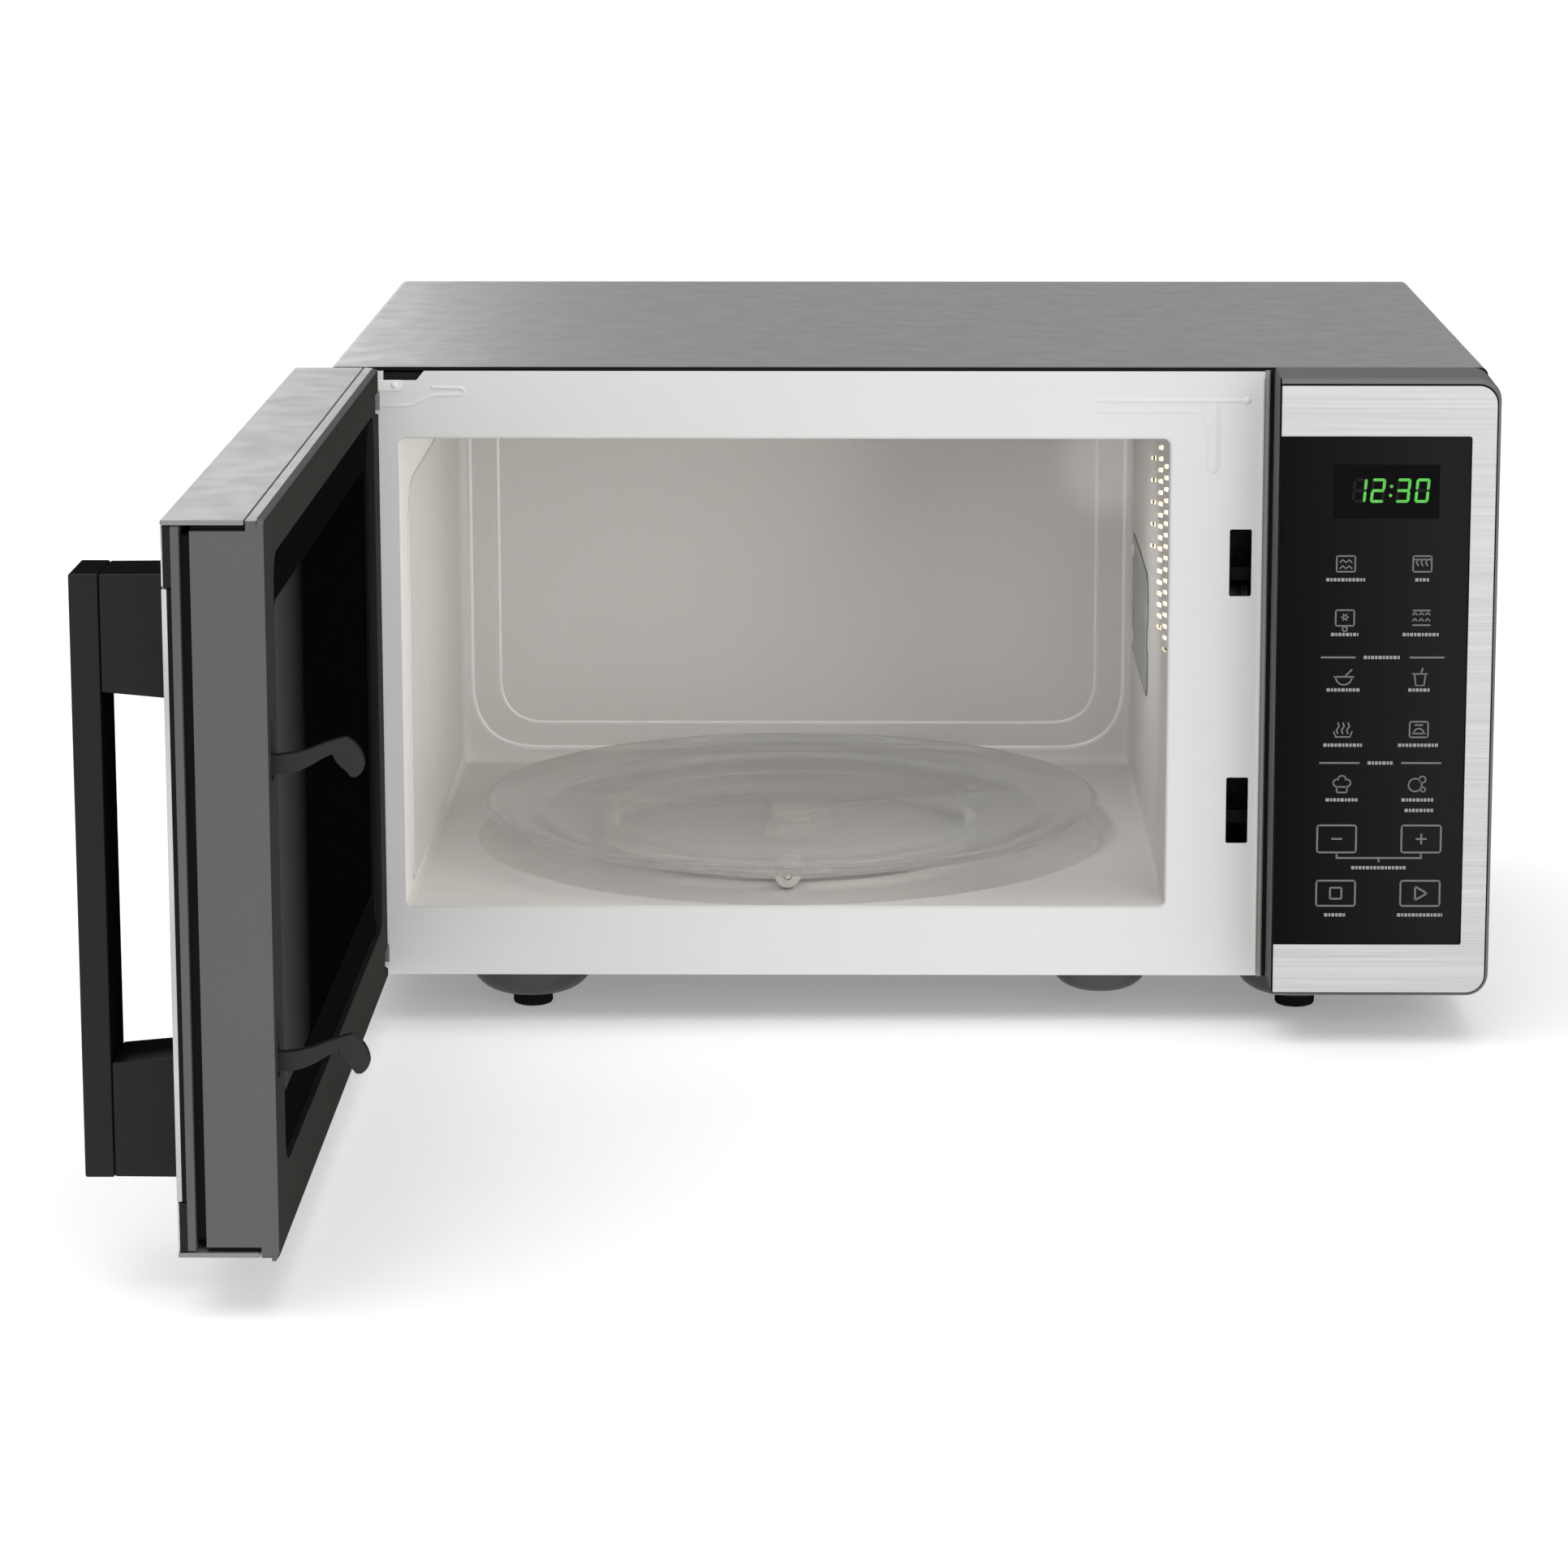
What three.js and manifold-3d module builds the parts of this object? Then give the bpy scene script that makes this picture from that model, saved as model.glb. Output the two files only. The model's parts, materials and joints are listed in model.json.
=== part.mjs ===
// A countertop microwave oven with grill: cabinet, cavity, control panel, swinging door, turntable
// and the electrical compartment. Millimetres, +Z up, front towards -Y, door shown open.
import * as THREE from 'three';
import { mergeVertices } from 'three/addons/utils/BufferGeometryUtils.js';
import Module from 'manifold-3d';

const wasm = await Module();
wasm.setup();

// ---------------------------------------------------------------------------------------------
// Driving dimensions. X = 0 is the middle of the cabinet, Y = 0 the face of its front frame
// and Z = 0 the table that it stands on.
// ---------------------------------------------------------------------------------------------
const GAP = 0.3; // between pieces that touch
const SHEET = 1.2; // chassis and cavity sheet
const COVER_SHEET = 1;
const COVER_BEND = 5; // radius of the cover's two long edges
const SIDE = 256.5; // half of the cabinet's width
const UNDERSIDE = 22;
const TOP = 298;
const CABINET_DEPTH = 332;
const GLAND = { x: 215, z: 60, radius: 9, bore: 5, flange: 4, inward: 10, proud: 3 }; // the cord's bushing
const CHASSIS_SIDE = SIDE - COVER_SHEET - GAP;

const CAVITY = { left: -224.8, right: 115.9, low: 53.9, high: 265.9, depth: 305 };
const TABLE_X = (CAVITY.left + CAVITY.right) / 2; // the turntable's axis
const TABLE_Y = 152;
const RECESS_RADIUS = 147.5;
const RECESS_FLOOR = 49.7;

const FRAME_TOP = 296.2;
const LATCH_X = 147.7;
const SLOT = { width: 9.9, height: 30.2, upper: 210.6, lower: 98.1 };
const HOOK_ROOTS = [206.5, 95.2]; // heights of the two hooks

const WIRING_HOLE = { left: 186, right: 236, low: 130, high: 194, radius: 4 }; // behind the panel

const FEET = [['front_left', -171, 35], ['front_right', 178, 35], ['rear_left', -171, 297],
  ['rear_right', 178, 297]];
const FOOT_RADIUS = 9;
const FOOT_DOME = { flat: 13, spread: 15.5, bottom: 7 };
const STIFFENER = { x: 88, y: 25, flat: 9, spread: 13, bottom: 10.8 }; // a spare pressed dome
const DRIVE_HOLE = 30; // radius of the opening in the base below the turntable's motor

// Rows of ventilation slots.
const BASE_VENTS = { count: 7, left: 140, pitch: 15, width: 6, front: 160, back: 240 };
const REAR_VENTS = { count: 8, left: -215, pitch: 16, width: 6, low: 225, high: 262 };
const FAN_SLOTS = { eachSide: 4, pitch: 11, width: 6 };
const GRILL_SLOTS = { count: 10, left: TABLE_X - 115, pitch: 24, width: 9, front: 105, back: 205 };

const PANEL = { left: 161.8, right: 257.6, low: 21.9, high: TOP, front: -38.5, lip: 156.3 };
const PANEL_STEEL = { right: 255.2, low: 24.3, high: 295, radius: 8 };
const PANEL_GLASS = { right: 244.5, low: 46.1, high: 272.9, thick: 3 };
const DISPLAY = { left: 185.8, right: 228.9, low: 236.8, high: 260.6 };

const DOOR = { left: -SIDE, right: 160.3, low: 23.7, high: TOP, inner: -1.5, outer: -38.5 };
const DOOR_WINDOW = { left: -229.5, right: 133.3, low: 51, high: 281, radius: 10 };
const DOOR_BODY_FRONT = -28; // the silver body ends here and the shadow groove starts
const DOOR_GROOVE_FRONT = -31.9;
const DOOR_GLASS_BACK = -34.9;
const DOOR_GLASS = { low: 45, high: 273 };
const DOOR_OPEN_ANGLE = -Math.PI / 2;
const DOOR_CORNER = 2;
const DOOR_POST = 24; // width of the solid post on the hinge side
const COVER_PLATE = 2.7; // thickness of the black inner cover
const COVER_LIP = 2.2; // how far that cover hangs below the door

const HINGE = { x: -245, y: -13.5, pin: 3, notch: 14.5, corner: 12.9 };
const HINGE_TABS = [['upper', 284], ['lower', 33]]; // name and height of the tab
const TAB_THICK = 3;
const PIN_LENGTH = 8;

const HANDLE = { left: 100.5, right: 131.5, low: 46, high: 273, reach: 38.2, bar: 11.5, post: 44 };

const TRAY = { radius: 147.5, underside: 62.3, thick: 4, rim: 71.2 };
const ROLLER = { circle: 100, radius: 6, width: 6, bore: 2, axle: 1.6 };
const RING = { inner: 84, outer: 91, low: 53.5, high: 58.5 };

const FAN = { x: 188, y: 293, z: 190, radius: 54, hub: 16, width: 16, blades: 7, chord: 22, thick: 1.6 };

// ---------------------------------------------------------------------------------------------
// Geometry helpers
// ---------------------------------------------------------------------------------------------
const ARC_STEPS = 5;

function traceRectangle(path, left, right, low, high, radius) {
  if (radius === 0) {
    path.moveTo(left, low);
    path.lineTo(right, low);
    path.lineTo(right, high);
    path.lineTo(left, high);
    path.closePath();
    return path;
  }
  path.moveTo(left + radius, low);
  path.lineTo(right - radius, low);
  path.absarc(right - radius, low + radius, radius, -Math.PI / 2, 0, false);
  path.lineTo(right, high - radius);
  path.absarc(right - radius, high - radius, radius, 0, Math.PI / 2, false);
  path.lineTo(left + radius, high);
  path.absarc(left + radius, high - radius, radius, Math.PI / 2, Math.PI, false);
  path.lineTo(left, low + radius);
  path.absarc(left + radius, low + radius, radius, Math.PI, 1.5 * Math.PI, false);
  return path;
}

function rectangle(left, right, low, high, radius = 0) {
  return traceRectangle(new THREE.Shape(), left, right, low, high, radius);
}

function rectangleHole(left, right, low, high, radius = 0) {
  return traceRectangle(new THREE.Path(), left, right, low, high, radius);
}

function circleHole(x, y, radius) {
  return new THREE.Path().absarc(x, y, radius, 0, 2 * Math.PI, false);
}

function extruded(shape, depth, steps = ARC_STEPS) {
  return new THREE.ExtrudeGeometry(shape, { depth, bevelEnabled: false, curveSegments: steps });
}

// A plate drawn in X and Z, from Y = front to Y = back.
function uprightPlate(shape, front, back, steps) {
  return extruded(shape, back - front, steps).rotateX(Math.PI / 2).translate(0, back, 0);
}

// A plate drawn in X and Y, from Z = low to Z = high.
function levelPlate(shape, low, high, steps) {
  return extruded(shape, high - low, steps).translate(0, 0, low);
}

// A plate drawn in Y and Z, from X = left to X = right.
function sidePlate(shape, left, right, steps) {
  const turn = new THREE.Matrix4().makeBasis(
    new THREE.Vector3(0, 1, 0),
    new THREE.Vector3(0, 0, 1),
    new THREE.Vector3(1, 0, 0),
  );
  return extruded(shape, right - left, steps).applyMatrix4(turn).translate(left, 0, 0);
}

function block(left, right, front, back, low, high) {
  const middle = [(left + right) / 2, (front + back) / 2, (low + high) / 2];
  return new THREE.BoxGeometry(right - left, back - front, high - low).translate(...middle);
}

// A block that is given by its six named sides.
function boxed({ left, right, front, back, low, high }) {
  return block(left, right, front, back, low, high);
}

// The tools that cut a row of slots through a level sheet, from Z = low to Z = high.
function levelSlots(row, low, high) {
  return Array.from({ length: row.count }, (_, i) => {
    const left = row.left + row.pitch * i;
    return block(left, left + row.width, row.front, row.back, low, high);
  });
}

function rod(radius, from, to, sides = 20) {
  const start = new THREE.Vector3(...from);
  const reach = new THREE.Vector3(...to).sub(start);
  const length = reach.length();
  const turn = new THREE.Quaternion().setFromUnitVectors(new THREE.Vector3(0, 1, 0), reach.normalize());
  const geometry = new THREE.CylinderGeometry(radius, radius, length, sides);
  return geometry.translate(0, length / 2, 0).applyQuaternion(turn).translate(...from);
}

// A solid of revolution about the vertical axis. The profile is a list of [radius, height],
// anticlockwise, closed on itself or from axis to axis.
function turned(profile, segments = 40) {
  const points = profile.map(([radius, height]) => new THREE.Vector2(radius, height));
  return new THREE.LatheGeometry(points, segments).rotateX(Math.PI / 2);
}

function toSolid(geometry) {
  const bare = geometry.clone();
  bare.deleteAttribute('normal');
  bare.deleteAttribute('uv');
  const merged = mergeVertices(bare, 1e-4);
  const corners = merged.index.array;
  const triVerts = [];
  for (let i = 0; i < corners.length; i += 3) {
    const [a, b, c] = [corners[i], corners[i + 1], corners[i + 2]];
    if (a !== b && b !== c && c !== a) triVerts.push(a, b, c);
  }
  return new wasm.Manifold(new wasm.Mesh({
    numProp: 3,
    vertProperties: new Float32Array(merged.attributes.position.array),
    triVerts: new Uint32Array(triVerts),
  }));
}

function toGeometry(solid) {
  const { vertProperties, triVerts } = solid.getMesh();
  const geometry = new THREE.BufferGeometry();
  geometry.setAttribute('position', new THREE.BufferAttribute(vertProperties, 3));
  geometry.setIndex(new THREE.BufferAttribute(triVerts, 1));
  return geometry;
}

function join(...geometries) {
  return toGeometry(geometries.map(toSolid).reduce((whole, piece) => whole.add(piece)));
}

function cut(geometry, ...tools) {
  return toGeometry(tools.map(toSolid).reduce((whole, tool) => whole.subtract(tool), toSolid(geometry)));
}

function addPart(group, name, geometry, [color, roughness, metalness]) {
  const mesh = new THREE.Mesh(geometry, new THREE.MeshStandardMaterial({ color, roughness, metalness }));
  mesh.name = name;
  group.add(mesh);
}

// ---------------------------------------------------------------------------------------------
// Finishes: colour, roughness, metalness
// ---------------------------------------------------------------------------------------------
const SILVER_PAINT = [0xb4b1ab, 0.45, 0.5];
const WHITE_ENAMEL = [0xe6e5e1, 0.35, 0];
const CAVITY_PAINT = [0xc9c4b8, 0.4, 0];
const ZINC_STEEL = [0xa9adb0, 0.4, 1];
const BRUSHED_STEEL = [0xd6d6d4, 0.32, 1];
const BLACK_GLASS = [0x0b0c0e, 0.06, 0];
const BLACK_PLASTIC = [0x1c1d1f, 0.5, 0];
const GREY_PLASTIC = [0x7d7c79, 0.45, 0];
const DARK_PLASTIC = [0x26272a, 0.4, 0];
const CLEAR_GLASS = [0xdfe8e6, 0.05, 0];
const RUBBER = [0x141414, 0.85, 0];
const MICA = [0x858a80, 0.6, 0];
const COPPER = [0xb5642e, 0.35, 1];
const IRON = [0x5d5f61, 0.55, 1];
const ALUMINIUM = [0xc5c8ca, 0.35, 1];
const BOARD_GREEN = [0x2f5a3a, 0.55, 0];
const BOARD_TAN = [0xb58f52, 0.6, 0];
const WHITE_CERAMIC = [0xece8df, 0.4, 0];
const PALE_PLASTIC = [0xdcdad2, 0.45, 0];
const HEATER_QUARTZ = [0xe8e2d8, 0.25, 0];

// ---------------------------------------------------------------------------------------------
// Cabinet
// ---------------------------------------------------------------------------------------------
function frontFrame() {
  const shape = rectangle(-CHASSIS_SIDE, CHASSIS_SIDE, UNDERSIDE, FRAME_TOP, 4);
  shape.holes.push(rectangleHole(CAVITY.left, CAVITY.right, CAVITY.low, CAVITY.high, 6));
  const w = WIRING_HOLE;
  shape.holes.push(rectangleHole(w.left, w.right, w.low, w.high, w.radius));
  const half = SLOT.width / 2;
  const reach = SLOT.height / 2;
  const slots = [SLOT.upper, SLOT.lower].map((middle) => (
    block(LATCH_X - half, LATCH_X + half, -1, SHEET + 1, middle - reach, middle + reach)
  ));
  return cut(uprightPlate(shape, 0, SHEET, 3), ...slots);
}

function outerCover() {
  const radius = COVER_BEND;
  const inside = SIDE - COVER_SHEET;
  const shape = new THREE.Shape();
  shape.moveTo(-SIDE, UNDERSIDE);
  shape.lineTo(-inside, UNDERSIDE);
  shape.lineTo(-inside, TOP - radius);
  shape.absarc(-SIDE + radius, TOP - radius, radius - COVER_SHEET, Math.PI, Math.PI / 2, true);
  shape.lineTo(SIDE - radius, TOP - COVER_SHEET);
  shape.absarc(SIDE - radius, TOP - radius, radius - COVER_SHEET, Math.PI / 2, 0, true);
  shape.lineTo(inside, UNDERSIDE);
  shape.lineTo(SIDE, UNDERSIDE);
  shape.lineTo(SIDE, TOP - radius);
  shape.absarc(SIDE - radius, TOP - radius, radius, 0, Math.PI / 2, false);
  shape.lineTo(-SIDE + radius, TOP);
  shape.absarc(-SIDE + radius, TOP - radius, radius, Math.PI / 2, Math.PI, false);
  return uprightPlate(shape, 0, CABINET_DEPTH);
}

// A dome pressed downwards out of the base plate, as a shell of the plate's thickness.
function pressedDome({ flat, spread, bottom }, x, y, plateLow) {
  const drop = plateLow - bottom;
  const steps = 3;
  const below = [];
  const above = [];
  for (let i = 0; i <= steps; i += 1) {
    const angle = (i / steps) * (Math.PI / 2);
    const out = Math.sin(angle);
    const up = 1 - Math.cos(angle);
    below.push([flat + spread * out, bottom + drop * up]);
    above.unshift([flat + (spread - SHEET) * out, bottom + SHEET + drop * up]);
  }
  const rim = [flat + spread, plateLow + SHEET];
  return turned([[0, bottom], ...below, rim, ...above, [0, bottom + SHEET]], 16).translate(x, y, 0);
}

function basePlate() {
  const low = UNDERSIDE + GAP;
  const shape = rectangle(-CHASSIS_SIDE, CHASSIS_SIDE, SHEET + GAP, CABINET_DEPTH - SHEET - 2 * GAP);
  const domes = FEET.map(([, x, y]) => [FOOT_DOME, x, y]);
  domes.push([STIFFENER, STIFFENER.x, STIFFENER.y]);
  for (const [dome, x, y] of domes) {
    shape.holes.push(circleHole(x, y, dome.flat + dome.spread - SHEET));
  }
  shape.holes.push(circleHole(TABLE_X, TABLE_Y, DRIVE_HOLE));
  const vents = levelSlots(BASE_VENTS, low - 1, low + SHEET + 1);
  const plate = cut(levelPlate(shape, low, low + SHEET, 9), ...vents);
  return join(plate, ...domes.map(([dome, x, y]) => pressedDome(dome, x, y, low)));
}

function rearPanel() {
  const low = UNDERSIDE + SHEET + 2 * GAP;
  const shape = rectangle(-CHASSIS_SIDE, CHASSIS_SIDE, low, TOP - COVER_SHEET - GAP, 4.5);
  shape.holes.push(circleHole(GLAND.x, GLAND.z, GLAND.radius + GAP));
  const front = CABINET_DEPTH - SHEET;
  const through = { front: front - 1, back: CABINET_DEPTH + 1 };
  const slots = [];
  for (let i = -FAN_SLOTS.eachSide; i <= FAN_SLOTS.eachSide; i += 1) {
    const left = FAN.x + i * FAN_SLOTS.pitch - FAN_SLOTS.width / 2;
    const half = Math.sqrt((FAN.radius - 2) ** 2 - (i * FAN_SLOTS.pitch) ** 2);
    const [right, low, high] = [left + FAN_SLOTS.width, FAN.z - half, FAN.z + half];
    slots.push(boxed({ left, right, ...through, low, high }));
  }
  const v = REAR_VENTS;
  for (let i = 0; i < v.count; i += 1) {
    const left = v.left + v.pitch * i;
    slots.push(boxed({ left, right: left + v.width, ...through, low: v.low, high: v.high }));
  }
  return cut(uprightPlate(shape, front, CABINET_DEPTH, 8), ...slots);
}

// The bushing that the mains cord leaves through, open through its middle.
function cordGland() {
  const { radius, bore, inward, flange, proud } = GLAND;
  const profile = [
    [bore, -inward], [radius, -inward], [radius, GAP], [radius + flange, GAP],
    [radius + flange - 1, proud], [bore + 1, proud], [bore, -inward],
  ];
  return turned(profile, 16).rotateX(-Math.PI / 2).translate(GLAND.x, CABINET_DEPTH, GLAND.z);
}

function foot(x, y) {
  const high = FOOT_DOME.bottom - GAP;
  const edge = 1;
  const profile = [
    [0, 0], [FOOT_RADIUS - edge, 0], [FOOT_RADIUS, edge], [FOOT_RADIUS, high], [0, high],
  ];
  return turned(profile, 16).translate(x, y, 0);
}

function buildCabinet(oven) {
  addPart(oven, 'front_frame', frontFrame(), WHITE_ENAMEL);
  addPart(oven, 'outer_cover', outerCover(), SILVER_PAINT);
  addPart(oven, 'base_plate', basePlate(), ZINC_STEEL);
  addPart(oven, 'rear_panel', rearPanel(), ZINC_STEEL);
  addPart(oven, 'cord_gland', cordGland(), BLACK_PLASTIC);
  for (const [name, x, y] of FEET) addPart(oven, `foot_${name}`, foot(x, y), RUBBER);
}

// ---------------------------------------------------------------------------------------------
// Cavity
// ---------------------------------------------------------------------------------------------
const CAVITY_FRONT = SHEET + GAP;
const PORT = { front: 208, back: 277, low: 122, high: 171, radius: 3 }; // where microwaves enter
const MICA_SHEET = { front: 155, back: 283, low: 118, high: 177, radius: 4, thick: 0.5 };

function cavityFloor() {
  const low = CAVITY.low - SHEET;
  const shape = rectangle(CAVITY.left + GAP, CAVITY.right - GAP, CAVITY_FRONT, CAVITY.depth - GAP);
  shape.holes.push(circleHole(TABLE_X, TABLE_Y, RECESS_RADIUS + 1.5));
  const bore = 8; // the drive coupler's stem passes here
  const lap = RECESS_RADIUS + 2.5;
  const profile = [
    [bore, RECESS_FLOOR - SHEET], [RECESS_RADIUS - 2, RECESS_FLOOR - SHEET], [RECESS_RADIUS + 1, low],
    [lap, low], [lap, CAVITY.low], [RECESS_RADIUS, CAVITY.low],
    [RECESS_RADIUS - 3, RECESS_FLOOR], [bore, RECESS_FLOOR], [bore, RECESS_FLOOR - SHEET],
  ];
  const steps = 22;
  const pan = turned(profile, 2 * steps).translate(TABLE_X, TABLE_Y, 0);
  return join(levelPlate(shape, low, CAVITY.low, steps), pan);
}

function cavityCeiling() {
  const shape = rectangle(CAVITY.left + GAP, CAVITY.right - GAP, CAVITY_FRONT, CAVITY.depth - GAP);
  const slots = levelSlots(GRILL_SLOTS, CAVITY.high - 1, CAVITY.high + SHEET + 1);
  return cut(levelPlate(shape, CAVITY.high, CAVITY.high + SHEET), ...slots);
}

function cavitySideWall(left, port) {
  const shape = rectangle(CAVITY_FRONT, CAVITY.depth - GAP, CAVITY.low - SHEET, CAVITY.high + SHEET);
  if (port) shape.holes.push(rectangleHole(port.front, port.back, port.low, port.high, port.radius));
  return sidePlate(shape, left, left + SHEET);
}

function cavityBackWall() {
  const { left, right, low, high, depth } = CAVITY;
  return block(left - SHEET, right + SHEET, depth, depth + SHEET, low - SHEET, high + SHEET);
}

function micaCover() {
  const m = MICA_SHEET;
  const inner = CAVITY.right - GAP;
  return sidePlate(rectangle(m.front, m.back, m.low, m.high, m.radius), inner - m.thick, inner);
}

const WAVEGUIDE = {
  left: CAVITY.right + SHEET + GAP, right: 150, front: 203, back: 282, low: 108, high: 205,
};
const ANTENNA = { y: 238, z: 175, radius: 7.5 };

// A rod along X on the axis of the magnetron's antenna.
function antennaRod(radius, left, right, sides) {
  return rod(radius, [left, ANTENNA.y, ANTENNA.z], [right, ANTENNA.y, ANTENNA.z], sides);
}

function waveguide() {
  const w = WAVEGUIDE;
  const inside = boxed({
    left: w.left - 1,
    right: w.right - SHEET,
    front: w.front + SHEET,
    back: w.back - SHEET,
    low: w.low + SHEET,
    high: w.high - SHEET,
  });
  return cut(boxed(w), inside, antennaRod(ANTENNA.radius + 2, w.right - 5, w.right + 5));
}

const REFLECTOR = { left: TABLE_X - 130, right: TABLE_X + 130, front: 85, back: 225, high: 292 };
const REFLECTOR_SHEET = 1;
const HEATER = { radius: 5.5, z: 279, inset: 2, rows: [['front', 130], ['rear', 180]] };

function grillReflector() {
  const r = REFLECTOR;
  const t = REFLECTOR_SHEET;
  const low = CAVITY.high + SHEET + GAP;
  const tray = block(r.left, r.right, r.front, r.back, low, r.high);
  return cut(tray, block(r.left + t, r.right - t, r.front + t, r.back - t, low - 1, r.high - t));
}

function grillElement(y) {
  const { radius, z, inset } = HEATER;
  return rod(radius, [REFLECTOR.left + inset, y, z], [REFLECTOR.right - inset, y, z], 14);
}

function buildCavity(oven) {
  addPart(oven, 'cavity_floor', cavityFloor(), CAVITY_PAINT);
  addPart(oven, 'cavity_ceiling', cavityCeiling(), CAVITY_PAINT);
  addPart(oven, 'cavity_left_wall', cavitySideWall(CAVITY.left - SHEET, null), CAVITY_PAINT);
  addPart(oven, 'cavity_right_wall', cavitySideWall(CAVITY.right, PORT), CAVITY_PAINT);
  addPart(oven, 'cavity_back_wall', cavityBackWall(), CAVITY_PAINT);
  addPart(oven, 'mica_cover', micaCover(), MICA);
  addPart(oven, 'waveguide', waveguide(), ZINC_STEEL);
  addPart(oven, 'grill_reflector', grillReflector(), ALUMINIUM);
  for (const [name, y] of HEATER.rows) {
    addPart(oven, `grill_element_${name}`, grillElement(y), HEATER_QUARTZ);
  }
}

// ---------------------------------------------------------------------------------------------
// Electrical compartment
// ---------------------------------------------------------------------------------------------
const COMPARTMENT_FLOOR = UNDERSIDE + SHEET + 2 * GAP;

const MAGNETRON = { left: 150.3, right: 225, front: 195, back: 280, low: 130, high: 220 };
const YOKE_WALL = 3;
const ANODE_RADIUS = 21;
const ANTENNA_TIP = 135;
const FILTER_BOX = { left: 224, right: 246, front: 214, back: 262, low: 150, high: 200 };
const FINS = { count: 6, first: 13, pitch: 9.5, thick: 1, inset: 5 };

function magnetron() {
  const m = MAGNETRON;
  const hollow = boxed({
    left: m.left + YOKE_WALL,
    right: m.right - YOKE_WALL,
    front: m.front - 1,
    back: m.back + 1,
    low: m.low + YOKE_WALL,
    high: m.high - YOKE_WALL,
  });
  const yoke = cut(boxed(m), hollow);
  const anode = antennaRod(ANODE_RADIUS, m.left + 1, m.right - 1, 24);
  const antenna = antennaRod(ANTENNA.radius, ANTENNA_TIP, m.left + 2, 16);
  const fins = Array.from({ length: FINS.count }, (_, i) => {
    const x = m.left + FINS.first + FINS.pitch * i;
    const [front, back] = [m.front + FINS.inset, m.back - FINS.inset];
    return block(x, x + FINS.thick, front, back, m.low + 1, m.high - 1);
  });
  return join(yoke, anode, antenna, boxed(FILTER_BOX), ...fins);
}

const TRANSFORMER = {
  x: 190, y: 104, low: COMPARTMENT_FLOOR + 2, high: 106,
  half: 47.5, // of the stack's width
  stack: 28, // half of the stack's depth
  limb: 16, // half of the middle limb's width
  window: 31, // from the middle to the far side of each winding window
  yoke: 14, // height of iron above and below the windows
  footHalf: 56, // of the mounting foot's width
  coilHalf: 43, // of the windings' depth
};

function transformerCore() {
  const t = TRANSFORMER;
  const windows = [t.x - t.window, t.x + t.limb].map((left) => (
    boxed({
      left,
      right: left + t.window - t.limb,
      front: t.y - t.stack - 2,
      back: t.y + t.stack + 2,
      low: t.low + t.yoke,
      high: t.high - t.yoke,
    })
  ));
  const stack = block(t.x - t.half, t.x + t.half, t.y - t.stack, t.y + t.stack, t.low, t.high);
  const [footFront, footBack] = [t.y - 22, t.y + 22];
  const [footLeft, footRight] = [t.x - t.footHalf, t.x + t.footHalf];
  const mountingFoot = block(footLeft, footRight, footFront, footBack, COMPARTMENT_FLOOR, t.low + 1);
  return join(cut(stack, ...windows), mountingFoot);
}

function transformerWindings() {
  const t = TRANSFORMER;
  const [across, along] = [t.limb + GAP, t.stack + GAP];
  const [outside, reach] = [t.window - GAP, t.coilHalf];
  const shape = rectangle(t.x - outside, t.x + outside, t.y - reach, t.y + reach, 8);
  shape.holes.push(rectangleHole(t.x - across, t.x + across, t.y - along, t.y + along));
  return levelPlate(shape, t.low + t.yoke + GAP, t.high - t.yoke - GAP, 3);
}

const CAPACITOR = { left: 160, right: 210, front: 158, back: 188, high: 100, radius: 14.9 };
const CAPACITOR_TAB = { width: 6, thick: 0.8, high: 110, places: [175, 195] };

function hvCapacitor() {
  const c = CAPACITOR;
  const outline = rectangle(c.left, c.right, c.front, c.back, c.radius);
  const can = levelPlate(outline, COMPARTMENT_FLOOR, c.high, 6);
  const { width, thick, high, places } = CAPACITOR_TAB;
  const middle = (c.front + c.back) / 2;
  const [front, back] = [middle - thick / 2, middle + thick / 2];
  const tabs = places.map((x) => block(x - width / 2, x + width / 2, front, back, c.high - 1, high));
  return join(can, ...tabs);
}

const FILTER_BOARD = { left: 128, right: 215, front: 245, back: 320, low: 262, high: 263.6 };
const FILM_CAPACITOR = { left: 172, right: 204, front: 262, back: 280, low: 263, high: 282 };
const CHOKE_COIL = { x: 150, y: 270, inner: 6, outer: 13, low: 263, high: 276 };
const FUSE = { left: 140, right: 165, y: 305, z: 266, radius: 3.2 };

function noiseFilter() {
  const c = CHOKE_COIL;
  const profile = [
    [c.inner, c.low], [c.outer, c.low], [c.outer, c.high], [c.inner, c.high], [c.inner, c.low],
  ];
  const coil = turned(profile, 20).translate(c.x, c.y, 0);
  const fuse = rod(FUSE.radius, [FUSE.left, FUSE.y, FUSE.z], [FUSE.right, FUSE.y, FUSE.z], 12);
  return join(boxed(FILTER_BOARD), coil, boxed(FILM_CAPACITOR), fuse);
}

const LAMP = { x: 132, z: 213, base: 111, stem: 8 }; // its axis, where the bulb starts, its radius there
const LAMP_HOLDER = { left: 119, right: 146, front: 96, back: 124, low: 194, high: 232 };

function lampHolder() {
  const [from, to] = [[LAMP.x, 90, LAMP.z], [LAMP.x, LAMP.base + 1, LAMP.z]];
  return cut(boxed(LAMP_HOLDER), rod(LAMP.stem + GAP, from, to, 20));
}

// The bulb's outline, from the middle of its base to its tip.
function lampBulb() {
  const { stem } = LAMP;
  const profile = [
    [0, 0], [stem, 0], [stem, 14], [7, 17], [10, 24], [11.5, 31], [10, 38], [6, 43], [0, 45],
  ];
  return turned(profile, 14).rotateX(Math.PI / 2).translate(LAMP.x, LAMP.base, LAMP.z);
}

const SHROUD = { half: 63, front: 288, thick: 2, depth: 24, corner: 4, wall: 2 };
const FAN_SHAFT = 3; // radius

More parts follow.
